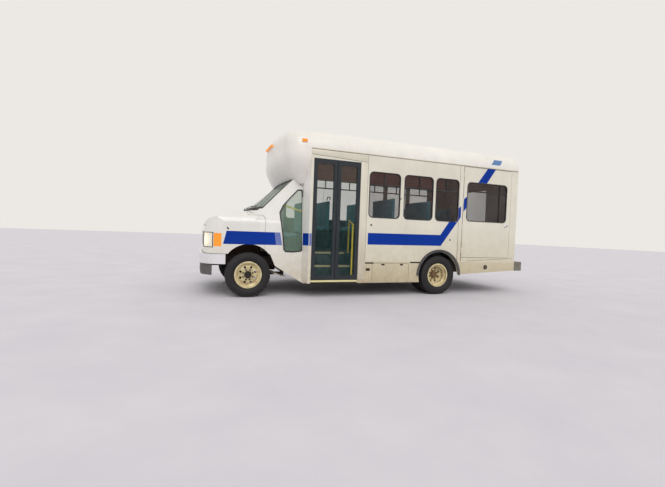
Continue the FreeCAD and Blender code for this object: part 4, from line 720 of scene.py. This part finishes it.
def stripes():
    blue, faded, pale = Shape(), Shape(), Shape()
    ahead = [(-404 + 8 * n, -356 + 6 * n) for n in range(5)] + [-200, 0, 200]
    curved_strip(blue, ahead + [(440, 410)], nose_side, LEFT, 0.859, 1.068)
    curved_strip(blue, ahead + [287], nose_side, RIGHT, 0.859, 1.068)
    curved_strip(faded, [(442, 412), (540, 500)], nose_side, LEFT, 0.859, 1.068)
    curved_strip(blue, [884, 905, 938], corner_side, LEFT, 0.868, 1.072)
    decal(faded, [(945, 868), (984, 868), (984, 1072), (945, 1072)], BODY_HALF, LEFT)
    decal(blue, [(2006, 912), (3524, 921), (3952, 1482), (3950, 1690), (3893, 1650), (3893, 1440),
                 (3850, 1383), (3692, 1383), (3504, 1125), (2006, 1115)], BODY_HALF, LEFT)
    decal(blue, [(945, 912), (3532, 919), (3830, 1360), (3660, 1360), (3498, 1126), (945, 1118)],
          BODY_HALF, RIGHT)
    blue.finish("stripe_blue_film", "stripe_blue", "root", "body_white")
    faded.finish("stripe_faded_film", "stripe_faded", "root", "body_white")
    door = Shape()
    decal(door, [(4008, 1588), (4074, 1666), (4074, 1882), (4008, 1830)], BODY_HALF, LEFT)
    decal(door, [(4330, 2170), (4541, 2170), (4748, 2460), (4550, 2460)], BODY_HALF, LEFT)
    door.finish("stripe_door_film", "stripe_blue", "lift_door_leaf", "body_white")
    for side in (LEFT, RIGHT):
        roof_stripe(pale, side)
    pale.finish("stripe_roof_film", "stripe_pale", "root", "roof_white")


stripes()


# Seams, fittings and trim of the body

def strip(shape, s0, z0, s1, z1, width, side=LEFT, lift=0.0012, half=BODY_HALF):
    """Narrow raised line on a body side from one (behind, up) place to another."""
    way = Vector((s1 - s0, z1 - z0)).normalized() * (width / 2)
    corners = [(s0 + way.y, z0 - way.x), (s1 + way.y, z1 - way.x), (s1 - way.y, z1 + way.x),
               (s0 - way.y, z0 + way.x)]
    decal(shape, corners, half, side, lift)


def body_trim():
    rails, seams = Shape(), Shape()
    for side in (LEFT, RIGHT):
        y = side * BODY_HALF
        profile = [(0, 2.470), (0.009, 2.468), (0.010, 2.474), (0.010, 2.482), (0.004, 2.487), (0, 2.489)]
        rings = [[pos(s, y + side * out, z) for out, z in profile] for s in (948, 5329)]
        rails.loops(rings, False)
        strip(seams, 948, 2464, 5326, 2464, 6, side, 0.0008)
    rails.finish("drip_rails", "trim_white", "root", "body_white", 0.0008)
    for s in (1960, 3994):
        strip(seams, s, 640, s, 2460, 4, RIGHT)
    for line in ((950, 2374, 1954, 2332, 5), (1966, 2330, 1966, 2462, 4), (1966, 2330, 1966, 640, 4),
                 (3902, 1010, 3902, 2460, 5), (3992, 1010, 3992, 2460, 6)):
        strip(seams, *line)
    seams.finish("panel_seams", "seam_dark", "root", "body_white")
    rust = Shape()
    for line in ((3904, 640, 3904, 1010, 10), (3990, 640, 3990, 1010, 14), (4125, 640, 5272, 700, 6)):
        strip(rust, *line)
    rust.finish("rusty_seams", "seam_rust", "root", "body_white")
    # The header strip above the door is a sheet of the slightly darker trim colour, in part painted shade
    # under the body line.
    post = Shape()
    decal(post, [(1842, 300), (1962, 300), (1962, 2330), (1842, 2335)], BODY_HALF, LEFT, 0.003)
    decal(post, [(948, 2378), (1962, 2338), (1962, 2460), (948, 2460)], BODY_HALF, LEFT, 0.002)
    post.finish("door_post_trim", "trim_white", "root", "body_white", 0.001)
    sill = Shape()
    sill.box(pos(990, 1.150, 0.262), pos(1832, 1.199, 0.293))
    sill.finish("door_sill_trim", "nosing", "root", "step_steel", 0.004)
    dark = Shape()
    for s0, s1, z in ((1972, 2136, 589), (2875, 3087, 604)):
        dark.box(pos(s0, 1.190, (z - 12) / 1000), pos(s1, 1.1965, (z + 12) / 1000))
    strip(dark, -350, 1122, -322, 1096, 22, LEFT, 0.0015, CAB_HALF)
    dark.finish("skirt_slots", "black_hole", "root", "dark_plastic", 0.001)
    fit = Shape()
    for s, z in ((2014, 475), (2046, 475)):
        fit.disc(pos(s, 1.190, z / 1000), (0, 1, 0), 0.011, 0.0085, 16)
    fit.box(pos(1992, 1.190, 0.452), pos(2068, 1.1965, 0.498))
    fit.lathe([(0.018, 1.190), (0.046, 1.190), (0.045, 1.198), (0.034, 1.201), (0.018, 1.197)],
              pos(4597, 0, 0.520), 32)
    for s, z, radius, depth, sides in ((2062, 1.255, 0.016, 0.006, 20), (2633, 1.745, 0.013, 0.007, 16),
                                       (3727, 1.038, 0.015, 0.006, 16)):
        fit.disc(pos(s, 1.193, z), (0, 1, 0), radius, depth, sides)
    fit.finish("skirt_fittings", "hub_iron", "root", "chassis_black", 0.0008, 40, 1)
    cap = Shape()
    cap.disc(pos(4597, 1.190, 0.520), (0, 1, 0), 0.017, 0.008, 20)
    cap.finish("filler_cap", "grey_steel", "root", "chassis_black", 0.001, 40, 1)
    latches = Shape()
    for s in (2324, 2699):
        latches.box(pos(s - 30, 1.193, 0.550), pos(s + 30, 1.200, 0.576))
        latches.disc(pos(s, 1.198, 0.563), (0, 1, 0), 0.009, 0.005, 14)
    latches.finish("locker_latches", "hub_iron", "locker_lid", "chassis_black", 0.0015)
    handle = Shape()
    handle.box(pos(5030, 1.193, 1.322), pos(5120, 1.198, 1.378))
    handle.finish("lift_handle_plate", "chrome_trim", "lift_door_leaf", bevel=0.0015)
    lever = Shape()
    lever.tube([pos(5104, 1.196, 1.362), pos(5098, 1.2035, 1.360), pos(5020, 1.2035, 1.318)], 0.0034, 8)
    lever.disc(pos(5100, 1.196, 1.361), (0, 1, 0), 0.012, 0.006, 16)
    lever.finish("lift_handle_lever", "hub_iron", "lift_door_leaf", "chassis_black")
    hinges = Shape()
    for z in (850, 1300, 1800, 2300):
        hinges.tube([pos(3990.5, 1.199, z / 1000 + end) for end in (-0.05, 0.05)], 0.0055, 10)
    hinges.finish("lift_door_hinges", "trim_white", "root", "body_white")


body_trim()


def rear_details():
    """Rear door fittings, lamp bezels and rear body seams."""
    def at(depth):
        return x_of(REAR_FACE) - depth / 1000
    door = Shape()
    door.box((at(0), 0.350, 1.230), (at(6), 0.425, 1.330))
    door.tube([(at(6), 0.388, 1.310), (at(30), 0.388, 1.305), (at(32), 0.388, 1.250), (at(6), 0.388, 1.245)],
              0.007, 10)
    door.finish("rear_door_handle", "dark_plastic", "rear_door_leaf", bevel=0.001)
    hinges = Shape()
    for z in (0.90, 1.52, 2.14):
        hinges.tube([(at(6), -0.4605, z + end) for end in (-0.045, 0.045)], 0.006, 12)
        hinges.box((at(0), -0.500, z - 0.035), (at(4), -0.464, z + 0.035))
    hinges.finish("rear_door_hinges", "chrome_trim", bevel=0.0008)
    bezels = Shape()
    for side in (LEFT, RIGHT):
        for z in (0.860, 1.000, 1.140):
            bezels.lathe([(0.056, at(0)), (0.066, at(0)), (0.064, at(14)), (0.058, at(18)), (0.056, at(14))],
                         (0, side * 1.050, z), 32, "X")
    bezels.finish("tail_lamp_bezels", "chrome_trim", sharp=50)
    seams = Shape()
    for y in (-0.720, 0.720):
        seams.box((at(0), y - 0.002, 0.640), (at(1), y + 0.002, 2.460))
    seams.box((at(0), -1.190, 2.462), (at(1), 1.190, 2.468))
    seams.finish("rear_seams", "seam_dark", "root", "body_white")


rear_details()


# Roof cap

CAP_FRONT = 460
CAP_LOW = 1905
CAP_UNDER = [(0.0, 300), (0.148, 195), (0.34, 103), (0.557, 30), (0.757, -4), (0.9, -2)]


def cap_levels(inset, fine):
    """Rows of (height, front, half width) from the cap's lower edge to its crown."""
    drip, half, foot = 2480, 1195, 1020
    top = drip + 401
    cove = 320

    def front_at(z):
        rise = z - (top - 280)
        if rise < 0:
            return CAP_FRONT + inset
        return CAP_FRONT + 280 - sqrt((280 - inset) ** 2 - rise ** 2)
    rows = []
    for share, back in CAP_UNDER:
        lean = min(share / 0.617, 1)
        rows.append((CAP_LOW + share * (drip - CAP_LOW) + (0 if share else inset), CAP_FRONT + back + inset,
                     foot + lean * (half - foot) - inset))
    start, radius = drip + 20, cove - inset
    rows.append((start, CAP_FRONT + inset, half - inset))
    last = asin(317 / cove)
    for step in range(1, fine + 1):
        angle = last * step / fine
        z = start + radius * sin(angle)
        rows.append((z, front_at(z), half - cove + radius * cos(angle)))
    shoulder, edge = rows[-1][0], rows[-1][2]
    for share in (0.2, 0.4, 0.58, 0.75, 0.87, 0.95, 0.985):
        z = shoulder + share * (top - inset - shoulder)
        rows.append((z, front_at(z), edge * sqrt(1 - share)))
    return rows


def cap_ring(z, front, half, rear, fine):
    """Plan of the cap at a height: a bowed front, rounded corners and straight sides."""
    corner = min(380, 0.85 * (rear - front), 0.9 * half)
    bow, away = corner / 4, corner * 0.8
    side = half - away
    turn = ((corner - bow) ** 2 + away ** 2) / (2 * away)
    begin = atan2(turn - away, corner - bow)
    wide = (side ** 2 + bow ** 2) / (2 * bow)
    reach = asin(side / wide)
    plan = []
    for step in range(fine + 1):
        angle = reach * (2 * step / fine - 1)
        plan.append((front + wide * (1 - cos(angle)), wide * sin(angle)))
    rounding = []
    for step in range(1, fine + 1):
        angle = begin + (pi / 2 - begin) * step / fine
        rounding.append((front + corner - turn * cos(angle), half - turn + turn * sin(angle)))
    plan += rounding + [(rear, half), (rear, -half)] + [(s, -y) for s, y in reversed(rounding)]
    return [pos_mm(s, y, z) for s, y in plan]


def cap_solid(inset, fine, rear):
    shape = Shape()
    shape.loops([cap_ring(z, front, half, rear, fine) for z, front, half in cap_levels(inset, fine)], False)
    return shape


def cab_block():
    """Space that the cab takes up under the cap."""
    shape = Shape()
    rings = []
    for z in (1500, 2040):
        half = CAB_WIDE - CAB_LEAN * (z - BELT) / CAB_RISE
        front = [on_screen(half * n / 8, z, 0) for n in range(-8, 9)]
        rings.append(front + [pos_mm(980, half, z), pos_mm(980, -half, z)])
    return shape.loops(rings, False)


def roof_cap():
    piece = cap_solid(0, 12, 945).finish("roof_cap_moulding", "roof_white", sharp=40,
                                         cutters=[cap_solid(30, 6, 985), cab_block()])
    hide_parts("roof_cap")
    band = Shape()
    for side in (LEFT, RIGHT):
        band.box(pos(936, side * 1.190, 1.960), pos(944.5, side * 1.1962, 2.478))
    band.finish("cap_joint_trim", "trim_white", "root", "body_white")


roof_cap()


# Wheels

def tyre_piece(name, body, node, middles):
    """Tyre with a ribbed and notched tread over the frame's own form."""
    shape = Shape()
    half, crown, flange = 0.109, 0.365, 0.220
    place = x_of(0) if "front" in name else x_of(WHEELBASE)
    low, high, foot, shoulder = flange + 0.010, crown - 0.026, 0.090, half - 0.016
    bulge = half - (foot + shoulder) / 2
    chord = high - low
    radius = (chord * chord / 4 + bulge * bulge) / (bulge * 2)
    wall = []
    for n in range(9):
        r = low + chord * n / 8
        out = (foot + shoulder) / 2 - (radius - bulge) + sqrt(radius ** 2 - (r - (low + high) / 2) ** 2)
        out += (foot - shoulder) / 2 * (1 - 2 * n / 8)
        wall.append((r, min(out, half)))
    ribs = [-0.089, -0.060, -0.054, -0.026, -0.020, 0.020, 0.026, 0.054, 0.060, 0.089]
    turns = 90
    for middle in middles:
        rings = []
        for n in range(turns):
            a = 2 * pi * n / turns
            notch = 0.004 if n % 3 == 0 else 0.0
            section = [(0.2063, -0.0755), (flange + 0.003, -0.079)] + [(r, -y) for r, y in wall]
            section.append((crown - 0.012 - notch, -0.094))
            for index, y in enumerate(ribs):
                height = crown - 0.0002 - 0.004 * (abs(y) / 0.09) ** 2
                section.append((height - notch * (1 if abs(y) > 0.05 else 0.4), y))
                if index in (1, 3, 5, 7):
                    section.append((height - 0.009, y + 0.0012))
                    section.append((height - 0.009, ribs[index + 1] - 0.0012))
            section.append((crown - 0.012 - notch, 0.094))
            section += [(r, y) for r, y in reversed(wall)] + [(flange + 0.003, 0.079), (0.2063, 0.0755)]
            rings.append([Vector((place + r * cos(a), middle + y, HUB + r * sin(a)))
                          for r, y in section])
        shape.loops(rings)
    piece = shape.finish(name, "tyre_rubber", body, "tyre_rubber", sharp=40)
    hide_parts(node)


def nuts(shape, centre, face, side, ring, count, size, height):
    for n in range(count):
        a = 2 * pi * (n + 0.5) / count
        spot = Vector(centre) + Vector((ring * cos(a), 0, ring * sin(a)))
        spot.y = face
        shape.disc(spot, (0, side, 0), size, height, 6)
        shape.disc(spot + Vector((0, side * height * 0.8, 0)), (0, side, 0), size * 0.5, height * 0.9, 10)


# Half sections of the steel wheels in millimetres, as (behind the outer face, radius)
BARREL = [(44, 197), (0, 197), (0, 220), (12, 206), (48, 206), (60, 176), (118, 176), (130, 206), (164, 206),
          (176, 220), (176, 197), (134, 197)]
FRONT_RIM = [(30, 59), (30, 100), (22, 122), (34, 146), (56, 167)] + BARREL + [
    (122, 167), (65, 167), (43, 137), (31, 122), (39, 100), (39, 59)]
REAR_RIM = [(146, 61), (146, 100), (154, 122), (142, 146), (122, 167), (56, 167)] + BARREL + [
    (151, 155), (163, 122), (155, 100), (155, 61)]
INNER_RIM = [(292, 61), (292, 150), (306, 197), (262, 197), (262, 220), (274, 206), (426, 206), (438, 220),
             (438, 197), (324, 197), (301, 141), (301, 61)]
FRONT_HUB = [(-14, 0), (-14, 40), (-4, 52), (30, 60), (132, 60), (132, 0)]
REAR_HUB = [(105, 0), (105, 44), (117, 60), (146, 62), (322, 62), (322, 0)]


def wheel_piece(name, body, node, face, side, distance, sections, hub, hub_look):
    """Steel wheel in the round, with its ring of hand holes, and the hub in its middle."""
    centre = (x_of(distance), 0, HUB)

    def turned(shape, section):
        points = [(max(r, 0.02) / 1000, side * (face - depth) / 1000) for depth, r in section]
        return shape.lathe(points, centre, 72)
    holes = Shape()
    for n in range(8):
        a = 2 * pi * (n + 0.5) / 8
        x, z = centre[0] + 0.128 * cos(a), HUB + 0.128 * sin(a)
        holes.tube([(x, side * (face + reach) / 1000, z) for reach in (20, -200)], 0.020, 20)
    piece = turned(Shape(), sections[0]).finish(name, "wheel_cream", body, sharp=32, cutters=[holes])
    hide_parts(node)
    for section in sections[1:]:
        inner = turned(Shape(), section).finish(name + "_inner", "wheel_cream", body, sharp=32)
        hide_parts(node)
    core = turned(Shape(), hub).finish(name + "_hub", hub_look, body, "iron", sharp=32)
    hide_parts(node)


def wheel_details():
    for name, side in SIDES:
        body = "front_wheel_" + name
        centre = pos(0, 0, HUB)
        tyre_piece("front_tread_" + name, body, "front_tyre_" + name, [side * 0.897])
        wheel_piece("front_wheel_steel_" + name, body, "front_rim_" + name, 985, side, 0, [FRONT_RIM],
                    FRONT_HUB, "hub_iron")
        shape = Shape()
        nuts(shape, centre, side * 0.955, side, 0.083, 8, 0.0125, 0.018)
        shape.finish("front_nuts_" + name, "hub_iron", body, "iron")
        body = "rear_wheels_" + name
        centre = pos(WHEELBASE, 0, HUB)
        tyre_piece("rear_tread_" + name, body, "rear_tyres_" + name, [side * 1.077, side * 0.815])
        wheel_piece("rear_wheel_steel_" + name, body, "rear_rims_" + name, 1165, side, WHEELBASE,
                    [REAR_RIM, INNER_RIM], REAR_HUB, "hub_tan")
        shape = Shape()
        nuts(shape, centre, side * 1.019, side, 0.083, 8, 0.0125, 0.020)
        nuts(shape, centre, side * 1.060, side, 0.030, 8, 0.004, 0.004)
        shape.finish("rear_nuts_" + name, "hub_tan", body, "iron")


wheel_details()


# Van front end

def nose_front(y, depth=0):
    """Place of the nose's bowed face behind the front axle, in millimetres."""
    return -700 + 18 * min(abs(y) / NOSE_FACE, 1) ** 2 + depth


def on_nose(y, z, out):
    """Point on the nose's outside and its rounded corner, a distance out from it, in metres."""
    reach = abs(y)
    if reach <= NOSE_FACE:
        return pos_mm(nose_front(y, -out), y, z)
    angle = asin(min((reach - NOSE_FLAT) / NOSE_RADIUS, 1))
    side = 1 if y > 0 else -1
    radius = NOSE_RADIUS + out
    out_by = side * (NOSE_FLAT + radius * sin(angle))
    return pos_mm(NOSE_START - radius * cos(angle), out_by, z)


def front_details():
    bezels = Shape()
    for side in (LEFT, RIGHT):
        outline = walk([(590, 803), (943, 803), (943, 1035), (590, 1035)], (12, 4))
        outline_ring(bezels, outline, ((5, 0), (5, 2.5), (-4, 2.5), (-5, -3)),
                     lambda y, z, out: on_nose(side * y, z, out))
    bezels.finish("headlamp_bezels", "dark_plastic", sharp=45)
    frame_shape = Shape()
    outline = walk([(-560, 815), (560, 815), (560, 1060), (-560, 1060)], (10, 3))
    section = ((10, 0), (9, -4), (2, -5), (-5, -3), (-5, 8), (0, 8))
    outline_ring(frame_shape, outline, section, lambda y, z, depth: pos_mm(nose_front(y, depth), y, z))
    frame_shape.finish("grille_surround", "chrome_trim", sharp=45)
    mirror = Shape()
    mirror.prism([pos(430, y, z) for y, z in round_corners(-1.180, 1.392, -1.050, 1.628, 0.02, 3)],
                 (-0.0012, 0, 0))
    mirror.finish("mirror_face", "mirror_glass", "driver_door_leaf", "chrome_trim")
    handle = Shape()
    handle.box(pos(742, -1.0048, 1.058), pos(826, -1.0075, 1.092))
    handle.tube([pos(752, -1.010, 1.078), pos(758, -1.020, 1.078), pos(810, -1.020, 1.078),
                 pos(816, -1.010, 1.078)], 0.006, 8)
    handle.finish("driver_door_handle", "dark_plastic", "driver_door_leaf", bevel=0.001)


front_details()


# Inside

def padded_form(length, width, height, spacing):
    """Mesh of a rounded block centred on the origin, with even quads."""
    bm = bmesh.new()
    bmesh.ops.create_cube(bm, size=1.0)
    bmesh.ops.scale(bm, vec=(length, width, height), verts=bm.verts)
    bmesh.ops.bevel(bm, geom=bm.edges[:], offset=min(length, width, height) * 0.3, segments=4, affect="EDGES",
                    profile=0.5)
    mesh = bpy.data.meshes.new("pad")
    bm.to_mesh(mesh)
    bm.free()
    obj = linked("pad_maker", mesh)
    step = obj.modifiers.new("even", "REMESH")
    step.mode = "VOXEL"
    step.voxel_size = spacing
    return applied(obj)


def inflated(obj, cap):
    """Swells a closed fabric form by cloth simulation, no point moving further than cap."""
    start = [v.co.copy() for v in obj.data.vertices]
    step = obj.modifiers.new("cloth", "CLOTH")
    step.settings.use_pressure = True
    step.settings.uniform_pressure_force = 4
    step.settings.effector_weights.gravity = 0
    scene = bpy.context.scene
    for number in range(1, 19):
        scene.frame_set(number)
    result = evaluated(obj)
    obj.modifiers.clear()
    scene.frame_set(1)
    for vertex, first, last in zip(obj.data.vertices, start, result.vertices):
        move = last.co - first
        vertex.co = first + move * min(1, cap / max(move.length, 1e-6))
    return obj


def seat_mesh(length, width, height, places, across):
    """Seat pad: swollen form with a sewn channel between the places and welts near its edges."""
    obj = padded_form(length - 0.020, width - 0.020, height - 0.020, 0.016)
    inflated(obj, 0.008)
    for vertex in obj.data.vertices:
        co = vertex.co
        edge = abs(co.y) / (width / 2)
        along = co.x / (length / 2) if across else co.z / (height / 2)
        top = max(0.0, (co.z / (height / 2)) if across else (co.x / (length / 2)))
        sunk = 0.0
        for n in range(1, places):
            line = -width / 2 + width * n / places
            sunk += 0.014 * exp(-((co.y - line) / 0.012) ** 2)
        for line in (-0.62, 0.62):
            sunk += 0.006 * exp(-((along - line) / 0.04) ** 2)
        sunk += 0.006 * exp(-((edge - 0.9) / 0.02) ** 2)
        if across:
            co.z -= sunk * top
        else:
            co.x -= sunk * top
    bm = bmesh.new()
    bm.from_mesh(obj.data)
    bmesh.ops.smooth_vert(bm, verts=bm.verts, factor=0.3, use_axis_x=True, use_axis_y=True, use_axis_z=True)
    bm.to_mesh(obj.data)
    bm.free()
    mesh = obj.data
    bpy.data.objects.remove(obj)
    mesh.shade_smooth()
    mesh.materials.clear()
    mesh.materials.append(M["seat_blue"])
    return mesh


def seats():
    cushion = seat_mesh(0.430, 0.860, 0.100, 2, True)
    back = seat_mesh(0.080, 0.860, 0.640, 2, False)
    driver_cushion = seat_mesh(0.430, 0.500, 0.100, 1, True)
    driver_back = seat_mesh(0.090, 0.500, 0.640, 1, False)
    rows = []
    for number, s in enumerate((1300, 2060, 2820, 3580, 4340)):
        rows.append(("right_%d" % number, s, -0.700))
    for number, s in enumerate((2060, 2820)):
        rows.append(("left_%d" % number, s, 0.700))
    pads = []
    for name, s, y in rows:
        pads.append(("seat_" + name, cushion, (s + 215, y, 1.180)))
        pads.append(("seat_back_" + name, back, (s + 480, y, 1.450)))
    pads.append(("driver_seat", driver_cushion, (915, -0.495, 1.010)))
    pads.append(("driver_seat_back", driver_back, (1185, -0.495, 1.380)))
    for name, mesh, (s, y, z) in pads:
        own = mesh.copy()
        own.transform(Matrix.Translation(pos(s, y, z)))
        obj = linked(name, own)
        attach(obj, "root")
        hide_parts("seat_cushions")


seats()


def lining():
    """Brown lining of the ceiling and the strip above the windows, from side to side."""
    shape = Shape()
    section = []
    for side in (RIGHT, LEFT):
        cove = [(1.1525, 2.470), (1.1525, 2.500)]
        cove += [(0.875 + 0.2775 * cos(a), 2.500 + 0.2775 * sin(a))
                 for a in [radians(10 * n) for n in range(1, 9)]]
        points = [(side * y, z) for y, z in cove]
        section += points if side == RIGHT else points[::-1]
    middle = [(-0.6, 2.806), (-0.3, 2.832), (0, 2.840), (0.3, 2.832), (0.6, 2.806)]
    section = section[:10] + middle + section[10:]
    thick = [(y * 0.996, z - 0.004) for y, z in reversed(section)]
    rings = [[pos(s, y, z) for y, z in section + thick] for s in (955, 5280)]
    shape.loops(rings, False)
    # The lining's material glows faintly, as painted light inside the body.
    shape.finish("ceiling_lining", "brown_panel_painted_glow", "root", "roof_white", sharp=60)
    panels = Shape()
    panels.box(pos(955, -1.1530, 2.312), pos(5280, -1.1495, 2.462))
    panels.box(pos(1990, 1.1495, 2.192), pos(3895, 1.1530, 2.462))
    panels.finish("window_head_lining", "brown_panel_painted_glow", "root", "body_white", 0.001)
    low = Shape()
    low.box(pos(955, -1.1530, 0.735), pos(5280, -1.1495, 1.378))
    low.finish("side_lining", "cab_grey", bevel=0.001)


def inside_details():
    nosings = Shape()
    for y, z in ((1.150, 0.290), (0.845, 0.510), (0.540, 0.730)):
        nosings.box(pos(990, y - 0.045, z + 0.0002), pos(1832, y - 0.004, z + 0.003))
        nosings.box(pos(990, y + 0.0003, z - 0.028), pos(1832, y + 0.0028, z + 0.003))
    nosings.finish("step_nosings", "nosing", "root", "step_steel", 0.0006)
    post = Shape()
    post.tube([pos(1250, -0.255, 0.730), pos(1250, -0.255, 1.130)], 0.016, 12)
    for s in (1290, 2050, 2810, 3570, 4330):
        grip = ((-0.250, 1.775), (-0.250, 1.830), (-0.40, 1.845), (-0.46, 1.780))
        post.tube([pos(s + 500, y, z) for y, z in grip], 0.011, 10)
    post.finish("seat_grips", "rail_yellow")
    dash = Shape()
    dash.box(pos(436, -0.640, 1.190), pos(446, -0.380, 1.285))
    for y in (-0.575, -0.445):
        dash.lathe([(0.030, x_of(446)), (0.038, x_of(446)), (0.036, x_of(452)), (0.030, x_of(450))],
                   (0, y, 1.240), 28, "X")
    for y in (-0.82, 0.0, 0.30, 0.78):
        dash.box(pos(434, y - 0.055, 1.215), pos(444, y + 0.055, 1.275))
        for n in range(4):
            dash.box(pos(444, y - 0.050, 1.221 + 0.014 * n), pos(448, y + 0.050, 1.226 + 0.014 * n))
    dash.box(pos(434, 0.060, 1.165), pos(446, 0.230, 1.225))
    dash.finish("dash_fittings", "dark_plastic", "root", "cab_grey", 0.0012)


lining()
inside_details()


# Under the body

def helix(centre, radius, low, high, turns, steps=16):
    points = []
    for n in range(turns * steps + 1):
        a = 2 * pi * n / steps
        points.append(Vector((centre[0] + radius * cos(a), centre[1] + radius * sin(a),
                              low + (high - low) * n / (turns * steps))))
    return points


def running_gear_details():
    springs = Shape()
    for side in (LEFT, RIGHT):
        springs.tube(helix((x_of(0), side * 0.420), 0.068, 0.372, 0.462, 4), 0.008, 8)
    springs.finish("front_coils", "chassis_black")
    clamps = Shape()
    for side in (LEFT, RIGHT):
        for s in (-48, 48):
            for y in (0.385, 0.449):
                clamps.tube([pos(WHEELBASE + s, side * y, z) for z in (0.300, 0.462)], 0.007, 8)
        clamps.tube([pos(3680, side * 0.330, 0.330), pos(3810, side * 0.340, 0.560)], 0.028, 14)
        clamps.tube([pos(3810, side * 0.340, 0.520), pos(3850, side * 0.343, 0.600)], 0.016, 12)
    clamps.finish("rear_clamps", "iron")
    bright = Shape()
    for s, z in ((462, 0.372), (600, 0.333)):
        for side in (LEFT, RIGHT):
            bright.box(pos(s - 30, side * 0.400, z - 0.008), pos(s + 30, side * 0.900, z + 0.008))
    bright.finish("step_brackets", "trim_white", "root", "chassis_black", 0.003)


running_gear_details()


# Camera, lights and stage

def camera():
    """Camera at the photograph's viewing angle."""
    yaw, pitch, roll = -0.3479, 0.0302, 0.0363
    rows = Matrix.Rotation(roll, 3, "Z") @ Matrix.Rotation(pitch, 3, "X") @ Matrix.Rotation(yaw, 3, "Y")
    rows = rows @ Matrix(((1, 0, 0), (0, 0, -1), (0, -1, 0)))
    right, down, ahead = [Vector((-row[0], row[1], row[2])) for row in rows]
    pose = Matrix((right, -down, -ahead)).transposed().to_4x4()
    pose.translation = pos(-775.5, 7.0733, 1.1034)
    data = bpy.data.cameras.new("camera")
    data.lens = 371.25 * 36 / 665
    data.sensor_width = 36
    eye = linked("camera", data)
    eye.matrix_world = pose
    bpy.context.scene.camera = eye


def pale_to_eye(name, shown, lit, strength):
    """Background colour for camera, glossy and transmission rays, and another light for the rest."""
    world = bpy.data.worlds.new(name)
    world.use_nodes = True
    tree = world.node_tree
    tree.nodes.clear()
    path = tree.nodes.new("ShaderNodeLightPath")
    most = tree.nodes.new("ShaderNodeMath")
    most.operation = "MAXIMUM"
    both = tree.nodes.new("ShaderNodeMath")
    both.operation = "MAXIMUM"
    seen, light = tree.nodes.new("ShaderNodeBackground"), tree.nodes.new("ShaderNodeBackground")
    seen.inputs["Color"].default_value = shown
    seen.inputs["Strength"].default_value = 1.0
    light.inputs["Color"].default_value = lit
    light.inputs["Strength"].default_value = strength
    choose = tree.nodes.new("ShaderNodeMixShader")
    out = tree.nodes.new("ShaderNodeOutputWorld")
    links = tree.links
    links.new(path.outputs["Is Camera Ray"], most.inputs[0])
    links.new(path.outputs["Is Glossy Ray"], most.inputs[1])
    links.new(most.outputs[0], both.inputs[0])
    links.new(path.outputs["Is Transmission Ray"], both.inputs[1])
    links.new(both.outputs[0], choose.inputs[0])
    links.new(light.outputs[0], choose.inputs[1])
    links.new(seen.outputs[0], choose.inputs[2])
    links.new(choose.outputs[0], out.inputs["Surface"])
    bpy.context.scene.world = world


def stage():
    mesh = bpy.data.meshes.new("floor_plane")
    mesh.from_pydata([(-60, -60, 0), (60, -60, 0), (60, 60, 0), (-60, 60, 0)], [], [(0, 1, 2, 3)])
    obj = linked("floor_plane", mesh)
    g = Graph("pale_floor")
    g.colour(g.mix(g.band(g.noise(1.2, 6, 0.6), 0.3, 0.7), rgb(196, 193, 200), rgb(204, 201, 206)))
    g.set(Roughness=0.85)
    mesh.materials.append(g.material)
    pale_to_eye("pale_world", rgb(236, 233, 228), (1.0, 0.99, 0.98, 1), 0.85)
    sun = bpy.data.lights.new("soft_key", "SUN")
    sun.energy = 1.4
    sun.angle = radians(50)
    sun.color = (1.0, 0.985, 0.96)
    key = linked("soft_key", sun)
    key.rotation_euler = (radians(-46), radians(14), 0)


camera()
stage()
bpy.context.scene.view_settings.view_transform = "Standard"
